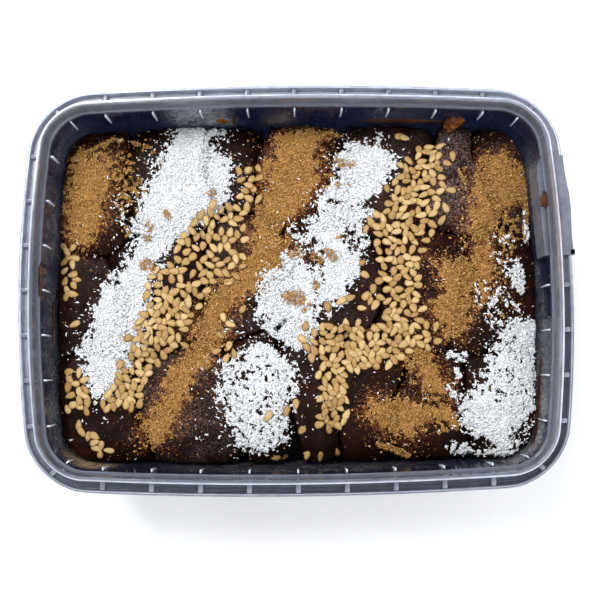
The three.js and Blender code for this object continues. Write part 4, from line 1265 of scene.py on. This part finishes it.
def lay_sesame(heights):
    draw = np.random.default_rng(SEED_LIE["draw"])
    x = draw.uniform(-HALF_LENGTH, HALF_LENGTH, SEED_TRIES)
    y = draw.uniform(-HALF_WIDTH, HALF_WIDTH, SEED_TRIES)
    covers = np.stack([band_cover([band], x, y) for band in SESAME_BANDS])
    cover = covers.max(0)
    thinning = SEED_LIE["thinning"] * (1 - np.minimum(1, 2.2 * cover)) ** 2
    spacing = np.array(SESAME_SPACING)[covers.argmax(0)] + thinning
    kept = np.array(SESAME_STRAYS)
    for i in np.flatnonzero(cover > 0.02):
        here = np.array([x[i], y[i]])
        if np.hypot(*(kept - here).T).min() > spacing[i]:
            kept = np.vstack([kept, here])
    x, y = kept.T
    turn = draw.uniform(0, 2 * math.pi, len(x))
    size = np.array(SEED_SIZE) * (1 + SEED_VARIETY * draw.normal(0, 1, (len(x), 3)).clip(-1.6, 1.6))
    ground = heights.at(x, y)
    frames = []
    inside = inside_tub(x, y, ground, CLEARANCE + SEED_LIE["from_wall"])
    for i in np.flatnonzero((ground > SEED_LIE["lowest"]) & inside):
        one = slice(i, i + 1)
        laid = lay_down(heights, x[one], y[one], turn[one], size[one],
                        SEED_LIE["steepest"], SEED_LIE["bedded"])
        stamp(heights, *laid, 9)
        frames.append(laid)
    return frames


# Stage, light and camera

def make_stage():
    n = Nodes("floor")
    mesh = bpy.data.meshes.new("floor")
    corners = [(x * FLOOR_SIDE / 2, y * FLOOR_SIDE / 2, 0) for x, y in ((-1, -1), (1, -1), (1, 1), (-1, 1))]
    mesh.from_pydata(corners, [], [(0, 1, 2, 3)])
    mesh.materials.append(n.dress({
        "Base Color": n.ramp(n.noise(60), {0.3: (244, 244, 245), 0.7: (250, 250, 250)}), "Roughness": 0.7}))
    floor = add_object("floor", mesh)
    scene = bpy.context.scene
    scene.view_settings.view_transform = "Standard"
    scene.world = bpy.data.worlds.new("studio")
    scene.world.use_nodes = True
    background = scene.world.node_tree.nodes["Background"].inputs
    background["Color"].default_value = (0.93, 0.96, 1, 1)
    background["Strength"].default_value = 0.9


def add_light(name, place, size, watts):
    data = bpy.data.lights.new(name, "AREA")
    data.energy = watts
    data.size = size
    light = add_object(name, data)
    light.location = place
    light.rotation_euler = Vector(place).to_track_quat("Z", "Y").to_euler()


def make_camera():
    data = bpy.data.cameras.new("camera")
    data.sensor_width = SENSOR
    data.lens = FOCAL_PIXELS / IMAGE_PIXELS * SENSOR
    data.clip_start = 0.01
    camera = add_object("camera", data)
    rx, ry, rz = CAMERA_TURNS
    to_camera = Matrix.Rotation(rz, 3, "Z") @ Matrix.Rotation(ry, 3, "Y") @ Matrix.Rotation(rx, 3, "X")
    camera.matrix_world = Matrix.Translation(Vector(CAMERA_PLACE) * MM) @ to_camera.transposed().to_4x4()
    bpy.context.scene.camera = camera


make_camera()
make_stage()
for light in LIGHTS:
    add_light(*light)

plastic = plastic_material()
make_tub(plastic)
make_ribs_and_webs(plastic)
make_tab(plastic)
make_bed(paste_material())

heights = Heights(make_dates(date_material()))
heights.bridge_creases(BRIDGE["cells"], BRIDGE["sag"])
cinnamon = strew(heights, "cinnamon", cinnamon_size)
coconut = strew(heights, "coconut", coconut_size)
sesame = lay_sesame(heights)
cinnamon += dust_over(heights)
grains_piece("cinnamon", cinnamon, CRUMB, PYRAMID_FACES, jitter=0.3, seed=16, spread=1.0)
grains_piece("coconut", coconut, FLAKE, PYRAMID_FACES, jitter=0.3, seed=6, spread=0.8)
seed_points, seed_faces, seed_shade = seed_shape()
seeds = grains_piece("sesame", sesame, seed_points, seed_faces, 0.02, seed=26, spread=0.5, shade=seed_shade)
seeds.data.polygons.foreach_set("use_smooth", [True] * len(seeds.data.polygons))
make_smears()
